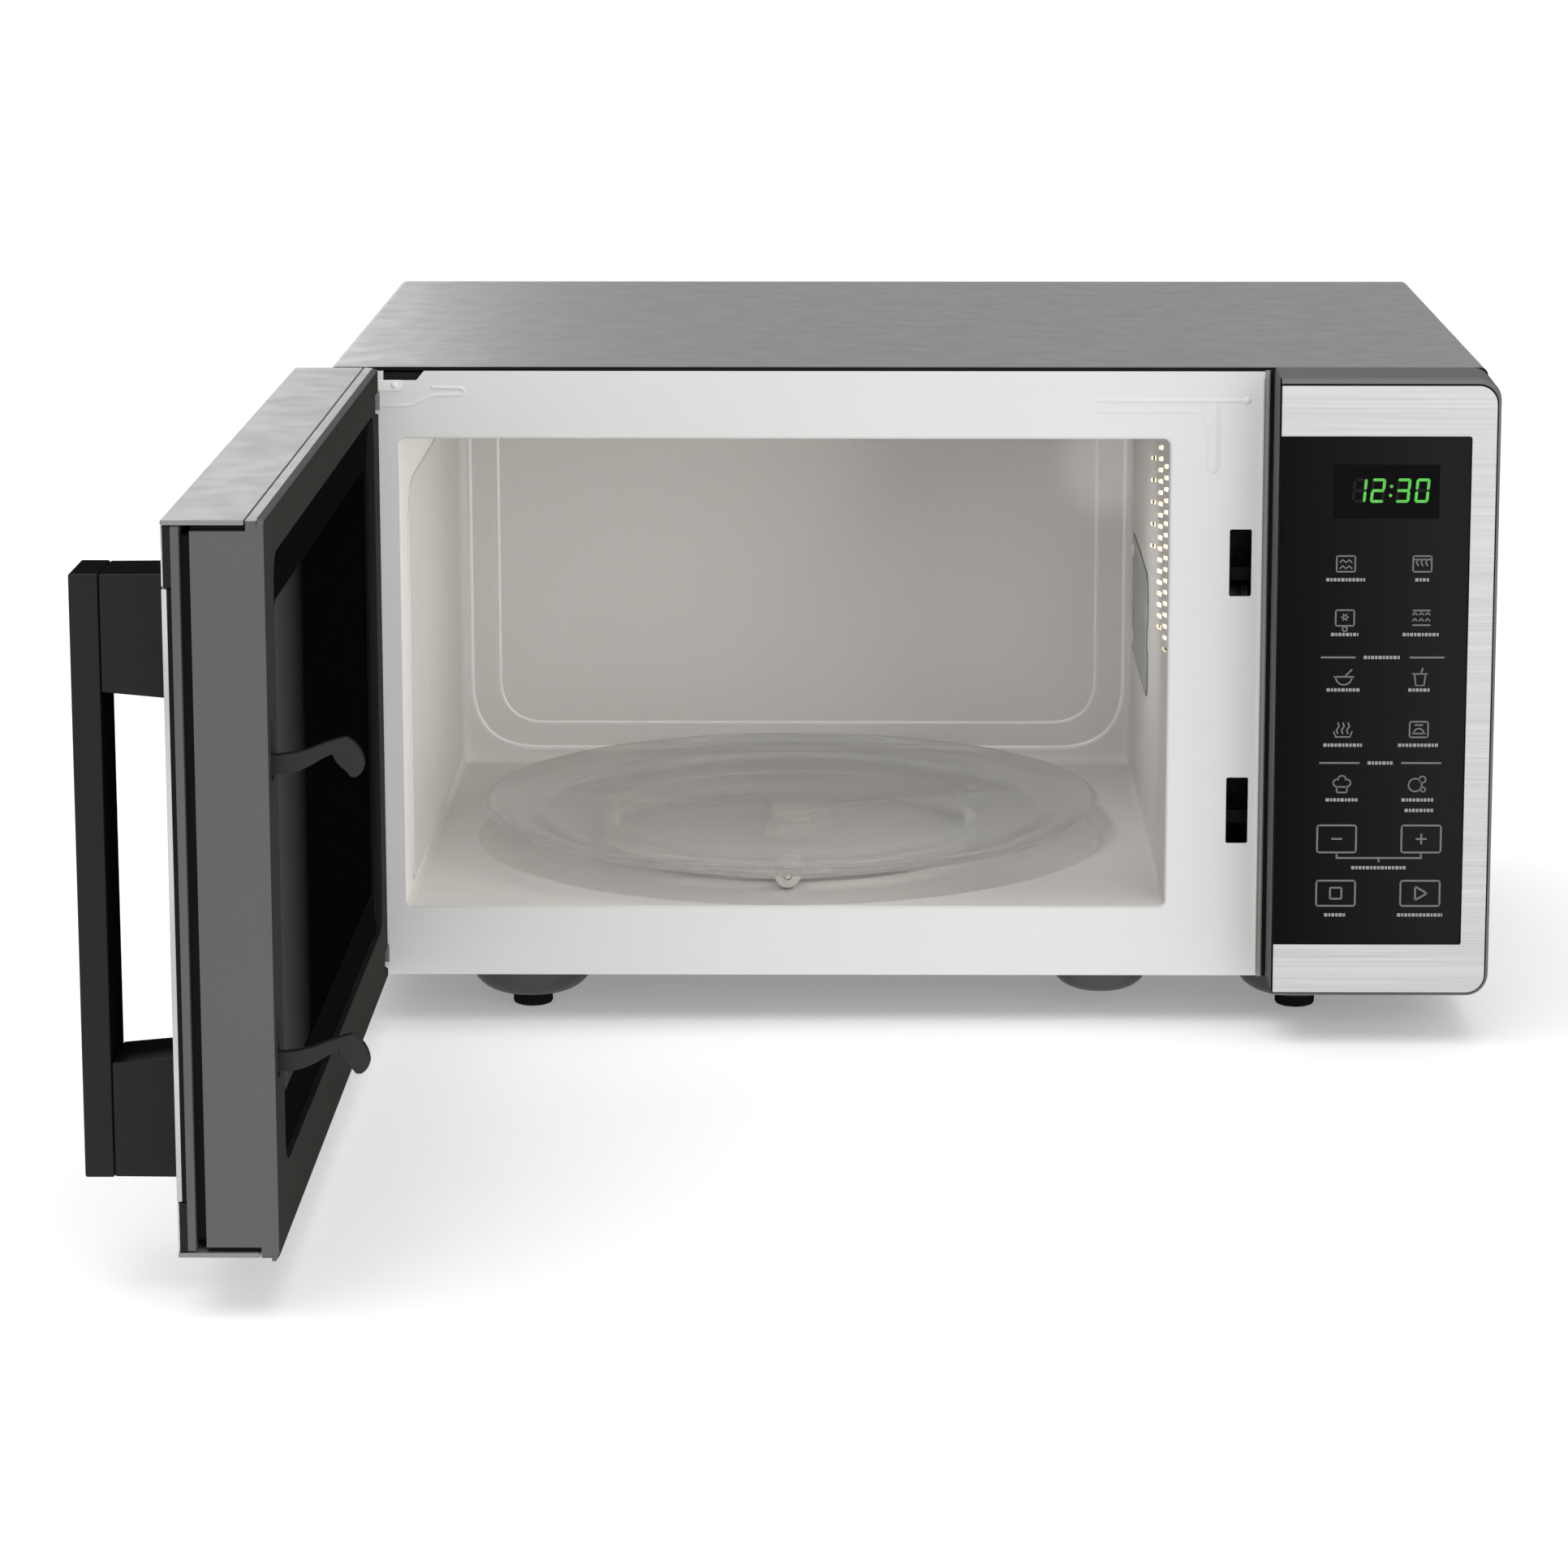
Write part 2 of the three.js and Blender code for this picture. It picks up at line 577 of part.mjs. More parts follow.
function fanShroud() {
  const { half, front, thick, depth, corner, wall } = SHROUD;
  const shape = rectangle(FAN.x - half, FAN.x + half, FAN.z - half, FAN.z + half, corner);
  shape.holes.push(circleHole(FAN.x, FAN.z, FAN.radius + 4));
  const plate = uprightPlate(shape, front, front + thick, 12);
  const inner = FAN.radius + 3;
  const outer = inner + wall;
  const tube = turned([[inner, -depth], [outer, -depth], [outer, 0], [inner, 0], [inner, -depth]], 24);
  return join(plate, tube.rotateX(Math.PI / 2).translate(FAN.x, front, FAN.z));
}

function fanMotor() {
  const front = SHROUD.front + SHROUD.depth + GAP;
  const bracket = block(FAN.x - 60, FAN.x + 60, front, front + 2, FAN.z - 8, FAN.z + 8);
  const stack = block(FAN.x - 28, FAN.x + 28, front + 1, front + 14, FAN.z - 22, FAN.z + 22);
  const shaft = rod(FAN_SHAFT, [FAN.x, FAN.y + 2, FAN.z], [FAN.x, front + 3, FAN.z], 16);
  return join(bracket, stack, shaft);
}

// The fan turns about an axis along Y, on the motor's shaft.
function fanBlade() {
  const hub = rod(FAN.hub, [0, 0, 0], [0, FAN.width, 0], 28);
  const blades = [];
  for (let i = 0; i < FAN.blades; i += 1) {
    const root = 3; // how far each blade reaches into the hub
    const blade = new THREE.BoxGeometry(FAN.chord, FAN.thick, FAN.radius - FAN.hub + root);
    blade.rotateZ(Math.PI / 5).translate(0, FAN.width / 2, (FAN.radius + FAN.hub - root) / 2);
    blade.rotateY((i / FAN.blades) * 2 * Math.PI);
    blades.push(blade);
  }
  const bore = rod(FAN_SHAFT + GAP, [0, -1, 0], [0, FAN.width + 1, 0], 16);
  return cut(join(hub, ...blades), bore).translate(FAN.x, FAN.y, FAN.z);
}

const DIODE = { x: 228, z: 32, front: 165, back: 188, radius: 4 };

function buildCompartment(oven) {
  addPart(oven, 'magnetron', magnetron(), ALUMINIUM);
  addPart(oven, 'transformer_core', transformerCore(), IRON);
  addPart(oven, 'transformer_windings', transformerWindings(), COPPER);
  addPart(oven, 'hv_capacitor', hvCapacitor(), ALUMINIUM);
  const d = DIODE;
  addPart(oven, 'hv_diode', rod(d.radius, [d.x, d.front, d.z], [d.x, d.back, d.z], 14), BLACK_PLASTIC);
  addPart(oven, 'noise_filter', noiseFilter(), BOARD_TAN);
  addPart(oven, 'lamp_holder', lampHolder(), WHITE_CERAMIC);
  addPart(oven, 'lamp_bulb', lampBulb(), CLEAR_GLASS);
  addPart(oven, 'fan_shroud', fanShroud(), PALE_PLASTIC);
  addPart(oven, 'fan_motor', fanMotor(), IRON);
  addPart(oven, 'fan_blade', fanBlade(), PALE_PLASTIC);
}

// ---------------------------------------------------------------------------------------------
// Door interlock behind the latch slots
// ---------------------------------------------------------------------------------------------
const CATCH = { front: 15, back: 19, rise: -0.2, thick: 6 }; // the ledge that a hook drops behind
const BOARD_FLANGE = { left: 124, right: 158, thick: 2.5 }; // against the front frame
const BOARD_WEB = { left: 155.5, back: 56 }; // the wall that the ledges stand on
const BOARD_ENDS = { below: 22, above: 26 }; // how far it runs past the middles of the slots
const SWITCH = { width: 10, front: 37, back: 53, height: 28 };
const PLUNGER = { inset: 3, front: 35, low: 12, height: 4 };

function latchBoard() {
  const low = SLOT.lower - BOARD_ENDS.below;
  const high = SLOT.upper + BOARD_ENDS.above;
  const flange = BOARD_FLANGE;
  const flangeFront = SHEET + GAP;
  const half = SLOT.width / 2 + 1;
  const reach = SLOT.height / 2 + 1;
  const slots = [SLOT.upper, SLOT.lower].map((middle) => (
    boxed({
      left: LATCH_X - half,
      right: LATCH_X + half,
      front: flangeFront - 1,
      back: flangeFront + flange.thick + 1,
      low: middle - reach,
      high: middle + reach,
    })
  ));
  const sheet = block(flange.left, flange.right, flangeFront, flangeFront + flange.thick, low, high);
  const web = block(BOARD_WEB.left, flange.right, flangeFront, BOARD_WEB.back, low, high);
  const pieces = [cut(sheet, ...slots), web];
  for (const root of HOOK_ROOTS) {
    const top = root + CATCH.rise;
    const right = flange.right - 1;
    pieces.push(block(LATCH_X - half, right, CATCH.front, CATCH.back, top - CATCH.thick, top));
  }
  return join(...pieces);
}

function microSwitch(left, low) {
  const body = block(left, left + SWITCH.width, SWITCH.front, SWITCH.back, low, low + SWITCH.height);
  const p = PLUNGER;
  const [plungerLeft, plungerRight] = [left + p.inset, left + SWITCH.width - p.inset];
  const [from, to] = [low + p.low, low + p.low + p.height];
  return join(body, block(plungerLeft, plungerRight, p.front, SWITCH.front + 1, from, to));
}

function buildInterlock(oven) {
  addPart(oven, 'latch_board', latchBoard(), PALE_PLASTIC);
  addPart(oven, 'primary_switch', microSwitch(145, 194), BLACK_PLASTIC);
  addPart(oven, 'secondary_switch', microSwitch(145, 82), BLACK_PLASTIC);
  addPart(oven, 'monitor_switch', microSwitch(134, 82), BLACK_PLASTIC);
}

// ---------------------------------------------------------------------------------------------
// Control panel
// ---------------------------------------------------------------------------------------------
const PANEL_WALL = 2;
const PANEL_CORNER = 3;
const STEEL_THICK = 0.8;

function panelHousing() {
  const p = PANEL;
  const face = p.front + STEEL_THICK + GAP;
  const outline = rectangle(p.left, p.right, p.low, p.high, PANEL_CORNER);
  const outside = uprightPlate(outline, face, -GAP, 3);
  const pocketFloor = p.front + PANEL_GLASS.thick + GAP;
  const hollow = boxed({
    left: p.left + PANEL_WALL,
    right: p.right - PANEL_WALL,
    front: pocketFloor + PANEL_WALL,
    back: 1,
    low: p.low + PANEL_WALL,
    high: p.high - PANEL_WALL,
  });
  const glassPocket = boxed({
    left: p.left - 1,
    right: PANEL_GLASS.right + GAP,
    front: p.front - 1,
    back: pocketFloor,
    low: PANEL_GLASS.low - GAP,
    high: PANEL_GLASS.high + GAP,
  });
  const window = boxed({ ...DISPLAY, front: p.front, back: pocketFloor + 2 * PANEL_WALL });
  const lip = block(p.lip, p.left + 1, -SHEET, -GAP, p.low, p.high);
  return join(cut(outside, hollow, glassPocket, window), lip);
}

// The brushed plate around the glass, open on the door's side.
function panelBezel() {
  const s = PANEL_STEEL;
  const shape = new THREE.Shape();
  shape.moveTo(PANEL.left, s.low);
  shape.lineTo(s.right - s.radius, s.low);
  shape.absarc(s.right - s.radius, s.low + s.radius, s.radius, -Math.PI / 2, 0, false);
  shape.lineTo(s.right, s.high - s.radius);
  shape.absarc(s.right - s.radius, s.high - s.radius, s.radius, 0, Math.PI / 2, false);
  shape.lineTo(PANEL.left, s.high);
  shape.lineTo(PANEL.left, PANEL_GLASS.high);
  shape.lineTo(PANEL_GLASS.right, PANEL_GLASS.high);
  shape.lineTo(PANEL_GLASS.right, PANEL_GLASS.low);
  shape.lineTo(PANEL.left, PANEL_GLASS.low);
  shape.closePath();
  return uprightPlate(shape, PANEL.front, PANEL.front + STEEL_THICK);
}

const CONTROL_BOARD = { left: 172, right: 248, front: -20, back: -18.4, low: 40, high: 280 };
const RELAY = { left: 180, right: 200, front: -19, back: -4, low: 60, high: 76 };
const SMALL_TRANSFORMER = { left: 208, right: 240, front: -19, back: -3, low: 90, high: 124 };
const CONNECTOR = { left: 176, right: 216, front: -19, back: -11, low: 250, high: 260 };
const DISPLAY_RIM = 3; // how far the display's body runs past its window

function controlBoard() {
  return join(...[CONTROL_BOARD, RELAY, SMALL_TRANSFORMER, CONNECTOR].map(boxed));
}

function displayModule() {
  return boxed({
    left: DISPLAY.left - DISPLAY_RIM,
    right: DISPLAY.right + DISPLAY_RIM,
    front: -33,
    back: CONTROL_BOARD.front - GAP,
    low: DISPLAY.low - DISPLAY_RIM,
    high: DISPLAY.high + DISPLAY_RIM,
  });
}

function buildPanel(oven) {
  const g = PANEL_GLASS;
  const glass = rectangle(PANEL.left, g.right - GAP, g.low + GAP, g.high - GAP);
  addPart(oven, 'panel_housing', panelHousing(), GREY_PLASTIC);
  addPart(oven, 'panel_bezel', panelBezel(), BRUSHED_STEEL);
  addPart(oven, 'panel_glass', uprightPlate(glass, PANEL.front, PANEL.front + g.thick), BLACK_GLASS);
  addPart(oven, 'display_module', displayModule(), DARK_PLASTIC);
  addPart(oven, 'control_board', controlBoard(), BOARD_GREEN);
}

// ---------------------------------------------------------------------------------------------
// Turntable
// ---------------------------------------------------------------------------------------------
function glassTray() {
  const t = TRAY;
  const top = t.underside + t.thick;
  const profile = [
    [0, t.underside], [t.radius - 20, t.underside], [t.radius - 8, t.underside + 2],
    [t.radius - 1, t.rim - 3], [t.radius, t.rim - 1], [t.radius - 1.5, t.rim], [t.radius - 4, t.rim - 1],
    [t.radius - 11, top + 1.2], [t.radius - 22, top], [0, top],
  ];
  return turned(profile, 44).translate(TABLE_X, TABLE_Y, 0);
}

// A three-lobed driver on the motor's shaft, under the middle of the tray.
const COUPLER_STEM = { radius: 5.5, low: 46.6, high: 54 };
const COUPLER_HUB = { radius: 10, low: 52, high: 61.5 };
const COUPLER_LOBE = { left: 0, right: 19, front: -3.5, back: 3.5, low: 55, high: 61 };
const MOTOR_CAN = { radius: 24.5, low: 30, high: 45 };
const MOTOR_EARS = { left: -34, right: 34, front: -8, back: 8, low: 44, high: 46 };

// An upright rod on the axis.
function upright({ radius, low, high }, sides) {
  return rod(radius, [0, 0, low], [0, 0, high], sides);
}

function driveCoupler() {
  const lobes = [0, 1, 2].map((i) => boxed(COUPLER_LOBE).rotateZ((i / 3) * 2 * Math.PI));
  const stem = upright(COUPLER_STEM, 16);
  return join(stem, upright(COUPLER_HUB, 20), ...lobes).translate(TABLE_X, TABLE_Y, 0);
}

function turntableMotor() {
  return join(upright(MOTOR_CAN, 28), boxed(MOTOR_EARS)).translate(TABLE_X, TABLE_Y, 0);
}

const ROLLER_HEIGHT = RECESS_FLOOR + GAP + ROLLER.radius;
const ROLLER_ANGLES = [0, 1, 2].map((i) => (i / 3) * 2 * Math.PI + Math.PI / 6);

function rollerRing() {
  const r = RING;
  const profile = [
    [r.inner, r.low], [r.outer, r.low], [r.outer, r.high], [r.inner, r.high], [r.inner, r.low],
  ];
  const hoop = turned(profile, 36);
  const axleEnd = ROLLER.circle + ROLLER.width / 2 + 1;
  const axles = ROLLER_ANGLES.map((angle) => (
    rod(ROLLER.axle, [r.outer - 2, 0, ROLLER_HEIGHT], [axleEnd, 0, ROLLER_HEIGHT], 12).rotateZ(angle)
  ));
  return join(hoop, ...axles).translate(TABLE_X, TABLE_Y, 0);
}

function rollerWheel(angle) {
  const half = ROLLER.width / 2;
  const { bore, radius } = ROLLER;
  const profile = [[bore, -half], [radius - 0.6, -half], [radius, 0.6 - half], [radius, half - 0.6],
    [radius - 0.6, half], [bore, half], [bore, -half]];
  const wheel = turned(profile, 16).rotateY(Math.PI / 2);
  wheel.translate(ROLLER.circle, 0, ROLLER_HEIGHT).rotateZ(angle);
  return wheel.translate(TABLE_X, TABLE_Y, 0);
}

function buildTurntable(oven) {
  addPart(oven, 'glass_tray', glassTray(), CLEAR_GLASS);
  addPart(oven, 'drive_coupler', driveCoupler(), PALE_PLASTIC);
  addPart(oven, 'turntable_motor', turntableMotor(), ZINC_STEEL);
  addPart(oven, 'roller_ring', rollerRing(), PALE_PLASTIC);
  ROLLER_ANGLES.forEach((angle, i) => {
    addPart(oven, `roller_wheel_${i + 1}`, rollerWheel(angle), PALE_PLASTIC);
  });
}

// ---------------------------------------------------------------------------------------------
// Hinges
// ---------------------------------------------------------------------------------------------
// A tab that stands out of the front frame, with a pin that the door turns on.
function hinge(tabLow) {
  const { x, y } = HINGE;
  const tabTop = tabLow + TAB_THICK;
  const tab = block(x - 5, x + 5, y - 5, -GAP, tabLow, tabTop);
  const plate = block(x - 8, x + 12, -SHEET, -GAP, tabLow - 5, tabTop);
  const pin = rod(HINGE.pin, [x, y, tabLow + 1], [x, y, tabTop + PIN_LENGTH]);
  return join(tab, plate, pin);
}

// ---------------------------------------------------------------------------------------------
// Door, drawn closed and turned open about its hinge
// ---------------------------------------------------------------------------------------------
// Rounds the corner that swings past the front frame.
function hingeCornerTool() {
  const { x, y, corner } = HINGE;
  const shape = new THREE.Shape();
  shape.moveTo(x, 1);
  shape.lineTo(x, y + corner);
  shape.absarc(x, y, corner, Math.PI / 2, Math.PI, false);
  shape.lineTo(x - 14, y);
  shape.lineTo(x - 14, 1);
  shape.closePath();
  return levelPlate(shape, UNDERSIDE - 5, TOP + 5, 6);
}

// Room for a hinge tab, and the bore that its pin stands in.
function hingeTools() {
  const { x, y, pin, notch } = HINGE;
  return HINGE_TABS.flatMap(([, low]) => {
    const top = low + TAB_THICK + 1;
    return [
      rod(notch, [x, y, low - 6], [x, y, top], 32),
      rod(pin + 0.4, [x, y, low], [x, y, top + PIN_LENGTH], 20),
    ];
  });
}

function hookSlotTools() {
  const [left, right] = [LATCH_X - 4, LATCH_X + 4];
  return HOOK_ROOTS.map((root) => block(left, right, -20, 1, root - 6, root + 16.5));
}

// The silver body: a band around the door, with a solid post down the hinge side.
function doorFrame() {
  const d = DOOR;
  const wall = 3;
  const shape = rectangle(d.left, d.right, d.low, d.high, DOOR_CORNER);
  shape.holes.push(rectangleHole(d.left + DOOR_POST, d.right - wall, d.low + wall, d.high - wall));
  const band = uprightPlate(shape, DOOR_BODY_FRONT, d.inner - COVER_PLATE - GAP);
  return cut(band, hingeCornerTool(), ...hingeTools());
}

function doorInnerCover() {
  const d = DOOR;
  const w = DOOR_WINDOW;
  const shape = rectangle(d.left, d.right, d.low - COVER_LIP, d.high, 3);
  shape.holes.push(rectangleHole(w.left, w.right, w.low, w.high, w.radius));
  const panel = uprightPlate(shape, d.inner - COVER_PLATE, d.inner);
  return cut(panel, hingeCornerTool(), ...hingeTools(), ...hookSlotTools());
}

// The quarter-wave channel around the window, open towards the front of the door.
function doorChoke() {
  const w = DOOR_WINDOW;
  const d = DOOR;
  const outline = (step) => {
    const inset = 4 + step;
    const shape = rectangle(d.left + DOOR_POST + 1 + step, d.right - inset, d.low + inset, d.high - inset);
    const lap = 6 - step; // the channel's inner wall stands behind the window's edge
    shape.holes.push(rectangleHole(w.left + lap + 6, w.right - lap, w.low + lap, w.high - lap));
    return shape;
  };
  const [front, back] = [-22, -7.4];
  const ring = uprightPlate(outline(0), front, back);
  const channel = uprightPlate(outline(SHEET), front - 1, back - SHEET);
  return cut(ring, channel, ...hookSlotTools());
}

function doorOuterFrame() {
  const d = DOOR;
  const inset = 4;
  const [stile, rail] = [24, 30]; // widths of the sides and of the top and bottom
  const face = rectangle(d.left, d.right, d.low, d.high, DOOR_CORNER);
  face.holes.push(rectangleHole(d.left + stile, d.right - stile, d.low + rail, d.high - rail));
  const neck = rectangle(d.left + inset, d.right - inset, d.low + inset, d.high - inset);
  const lap = 2;
  neck.holes.push(rectangleHole(
    d.left + stile + lap, d.right - stile - lap, d.low + rail + lap, d.high - rail - lap,
  ));
  return join(
    uprightPlate(face, DOOR_GLASS_BACK, DOOR_GROOVE_FRONT),
    uprightPlate(neck, DOOR_GROOVE_FRONT - 0.5, DOOR_BODY_FRONT - GAP),
  );
}

function frontBar(low, high) {
  return block(DOOR.left, DOOR.right, DOOR.outer, DOOR_GLASS_BACK - GAP, low, high);
}

function handle() {
  const h = HANDLE;
  const back = DOOR.outer - GAP;
  const front = DOOR.outer - h.reach;
  const barBack = front + h.bar;
  const flare = 2.5;
  const shape = new THREE.Shape();
  shape.moveTo(front + 3, h.low);
  shape.lineTo(back, h.low - 0.5);
  shape.lineTo(back, h.low + h.post + flare);
  shape.quadraticCurveTo(back - 8, h.low + h.post, barBack + 6, h.low + h.post);
  shape.quadraticCurveTo(barBack, h.low + h.post, barBack, h.low + h.post + 6);
  shape.lineTo(barBack, h.high - h.post - 6);
  shape.quadraticCurveTo(barBack, h.high - h.post, barBack + 6, h.high - h.post);
  shape.quadraticCurveTo(back - 8, h.high - h.post, back, h.high - h.post - flare);
  shape.lineTo(back, h.high + 0.5);
  shape.lineTo(front + 3, h.high);
  shape.quadraticCurveTo(front, h.high, front, h.high - 3);
  shape.lineTo(front, h.low + 3);
  shape.quadraticCurveTo(front, h.low, front + 3, h.low);
  return sidePlate(shape, h.left, h.right);
}

// One hook, drawn from its root: u runs out of the door's inner face and v upwards.
function hookOutline(root) {
  const at = (u, v) => [DOOR.inner + u, root + v];
  const shape = new THREE.Shape();
  shape.moveTo(...at(-21, -3.6));
  shape.lineTo(...at(4, -3.6));
  shape.quadraticCurveTo(...at(9, -3.2), ...at(15.4, 0.6));
  shape.quadraticCurveTo(...at(20, 3.6), ...at(22, 3.8));
  shape.quadraticCurveTo(...at(22.4, 1), ...at(26.4, -2.1));
  shape.lineTo(...at(28.4, -4.6));
  shape.lineTo(...at(30.3, -4.6));
  shape.quadraticCurveTo(...at(33.6, -2.6), ...at(33.6, 0.9));
  shape.quadraticCurveTo(...at(32.8, 7.4), ...at(27, 10.3));
  shape.lineTo(...at(17, 7.3));
  shape.lineTo(...at(0, 3.6));
  shape.lineTo(...at(-21, 3.6));
  shape.closePath();
  return shape;
}

const LATCH_BAR = { left: LATCH_X - 2, right: LATCH_X + 2, front: -26.5, back: -22.3, low: 78, high: 228 };

function latchHooks() {
  const { left, right } = LATCH_BAR;
  const hooks = HOOK_ROOTS.map((root) => sidePlate(hookOutline(root), left, right, 4));
  return join(boxed(LATCH_BAR), ...hooks);
}

const SPRING = { low: 44, turns: 6, coil: 2.6, wire: 0.5, stepsPerTurn: 7 };

// The spring that pulls the latch bar down.
function latchSpring() {
  const { low, turns, coil, wire, stepsPerTurn } = SPRING;
  const high = LATCH_BAR.low - GAP - 0.6;
  const middle = (LATCH_BAR.front + LATCH_BAR.back) / 2;
  const points = [];
  const steps = turns * stepsPerTurn;
  for (let i = 0; i <= steps; i += 1) {
    const angle = (i / steps) * turns * 2 * Math.PI;
    const z = low + ((high - low) * i) / steps;
    points.push(new THREE.Vector3(LATCH_X + coil * Math.cos(angle), middle + coil * Math.sin(angle), z));
  }
  const section = new THREE.Shape().absarc(0, 0, wire, 0, 2 * Math.PI, false);
  const extrudePath = new THREE.CatmullRomCurve3(points);
  return new THREE.ExtrudeGeometry(section, { steps, extrudePath, bevelEnabled: false, curveSegments: 2 });
}

function buildDoor(oven) {
  const turn = new THREE.Group();
  turn.position.set(HINGE.x, HINGE.y, 0);
  turn.rotation.z = DOOR_OPEN_ANGLE;
  const door = new THREE.Group();
  door.position.set(-HINGE.x, -HINGE.y, 0);
  turn.add(door);
  oven.add(turn);

  const w = DOOR_WINDOW;
  const lap = 2; // how far the pane and its mesh run behind the cover
  const window = rectangle(w.left - lap, w.right + lap, w.low - lap, w.high + lap, 4);
  const paneBack = DOOR.inner - COVER_PLATE - GAP;
  const glass = rectangle(DOOR.left, DOOR.right, DOOR_GLASS.low, DOOR_GLASS.high);
  addPart(door, 'door_frame', doorFrame(), SILVER_PAINT);
  addPart(door, 'door_inner_cover', doorInnerCover(), BLACK_PLASTIC);
  addPart(door, 'door_window', uprightPlate(window, -6, paneBack), BLACK_GLASS);
  addPart(door, 'door_mesh', uprightPlate(window, -7.1, -6.3), ZINC_STEEL);
  addPart(door, 'door_choke', doorChoke(), ZINC_STEEL);
  addPart(door, 'door_outer_frame', doorOuterFrame(), GREY_PLASTIC);
  addPart(door, 'door_glass', uprightPlate(glass, DOOR.outer, DOOR_GLASS_BACK - GAP), BLACK_GLASS);
  addPart(door, 'door_trim_top', frontBar(DOOR_GLASS.high + GAP, DOOR.high), BRUSHED_STEEL);
  addPart(door, 'door_trim_bottom', frontBar(DOOR.low, DOOR_GLASS.low - GAP), BRUSHED_STEEL);
  addPart(door, 'handle', handle(), DARK_PLASTIC);
  addPart(door, 'latch_hooks', latchHooks(), BLACK_PLASTIC);
  addPart(door, 'latch_spring', latchSpring(), ZINC_STEEL);
  for (const [name, low] of HINGE_TABS) addPart(oven, `hinge_${name}`, hinge(low), ZINC_STEEL);
}

// ---------------------------------------------------------------------------------------------
// Assembly. The origin is on the table, under the middle of the oven with its door open.
// ---------------------------------------------------------------------------------------------
const OPEN_LEFT = HINGE.x + (DOOR.outer - HANDLE.reach - HINGE.y);
const OPEN_FRONT = HINGE.y - (DOOR.right - HINGE.x);
const REAR = CABINET_DEPTH + GLAND.proud;

const oven = new THREE.Group();
oven.position.set(-(OPEN_LEFT + PANEL.right) / 2, -(OPEN_FRONT + REAR) / 2, 0);
buildCabinet(oven);
buildCavity(oven);
buildCompartment(oven);
buildInterlock(oven);
buildPanel(oven);
buildTurntable(oven);
buildDoor(oven);

const model = new THREE.Group();
model.add(oven);

export default model;
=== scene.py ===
"""A countertop microwave oven with its door open: the looks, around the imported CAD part.

Pieces are drawn in millimetres, in one of two spaces. CABINET has X = 0 in the middle of the cabinet,
Y = 0 on its front frame and Z = 0 on the table. DOOR is the same space for the door's pieces, drawn closed
and turned open about the hinge.
"""

import json
import math

import bmesh
import bpy
from mathutils import Matrix, Vector
from mathutils.geometry import tessellate_polygon


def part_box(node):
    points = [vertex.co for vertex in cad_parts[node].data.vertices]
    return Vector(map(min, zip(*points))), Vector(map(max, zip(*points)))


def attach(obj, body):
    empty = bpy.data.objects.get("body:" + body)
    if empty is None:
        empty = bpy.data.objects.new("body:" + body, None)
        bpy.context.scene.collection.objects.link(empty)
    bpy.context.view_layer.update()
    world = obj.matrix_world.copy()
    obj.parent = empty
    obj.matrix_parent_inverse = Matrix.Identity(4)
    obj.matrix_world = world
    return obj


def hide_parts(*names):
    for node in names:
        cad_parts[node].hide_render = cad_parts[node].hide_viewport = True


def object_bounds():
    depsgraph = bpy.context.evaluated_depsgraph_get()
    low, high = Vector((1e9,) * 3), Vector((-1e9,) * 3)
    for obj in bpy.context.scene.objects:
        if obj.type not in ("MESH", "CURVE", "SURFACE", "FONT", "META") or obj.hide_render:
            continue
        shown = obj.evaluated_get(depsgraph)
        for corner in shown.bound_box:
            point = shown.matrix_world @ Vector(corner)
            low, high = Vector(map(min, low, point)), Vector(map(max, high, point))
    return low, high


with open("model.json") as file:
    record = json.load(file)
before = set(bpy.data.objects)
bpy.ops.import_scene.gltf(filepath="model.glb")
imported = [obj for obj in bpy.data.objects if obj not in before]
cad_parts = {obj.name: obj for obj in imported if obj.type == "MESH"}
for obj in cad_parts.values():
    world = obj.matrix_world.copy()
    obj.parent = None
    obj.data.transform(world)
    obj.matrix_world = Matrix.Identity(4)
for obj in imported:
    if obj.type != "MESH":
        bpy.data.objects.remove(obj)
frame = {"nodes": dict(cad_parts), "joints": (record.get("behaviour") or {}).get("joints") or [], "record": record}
cad_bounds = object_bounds()

# ------------------------------------------------------------------------------------------------
# Spaces, and the boxes of the CAD nodes in them
# ------------------------------------------------------------------------------------------------
MM = 0.001
cover_low, cover_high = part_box("outer_cover")
MIDDLE = Vector(((cover_low.x + cover_high.x) / 2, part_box("front_frame")[0].y, 0))
CABINET = Matrix.Translation(MIDDLE) @ Matrix.Scale(MM, 4)


def joint_place(name):
    """Where a joint is, in CABINET."""
    joint = next(j for j in frame["joints"] if j["name"] == name)
    return CABINET.inverted() @ Vector(joint["pos_m"])


HINGE = joint_place("door_swing")
TABLE = joint_place("turntable_spin")
OPENED = Matrix.Rotation(-math.pi / 2, 4, "Z")
DOOR = CABINET @ Matrix.Translation(HINGE) @ OPENED @ Matrix.Translation(-HINGE)


def node_box(node, space=CABINET):
    """The lowest and highest corner of a CAD node, in millimetres in a space."""
    corners = [space.inverted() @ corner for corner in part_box(node)]
    return Vector(map(min, *corners)), Vector(map(max, *corners))


# ------------------------------------------------------------------------------------------------
# Outlines and meshes
# ------------------------------------------------------------------------------------------------
def rounded(left, right, low, high, radius, steps=8):
    """A rectangle with round corners, anticlockwise. The radius is one number, or four from lower left."""
    radii = radius if isinstance(radius, (list, tuple)) else [radius] * 4
    corners = [(left, low, 1, 1, 180), (right, low, -1, 1, 270), (right, high, -1, -1, 0),
               (left, high, 1, -1, 90)]
    points = []
    for (x, y, to_x, to_y, start), r in zip(corners, radii):
        if r <= 0:
            points.append((x, y))
            continue
        for i in range(steps + 1):
            angle = math.radians(start + 90 * i / steps)
            points.append((x + to_x * r + r * math.cos(angle), y + to_y * r + r * math.sin(angle)))
    return points


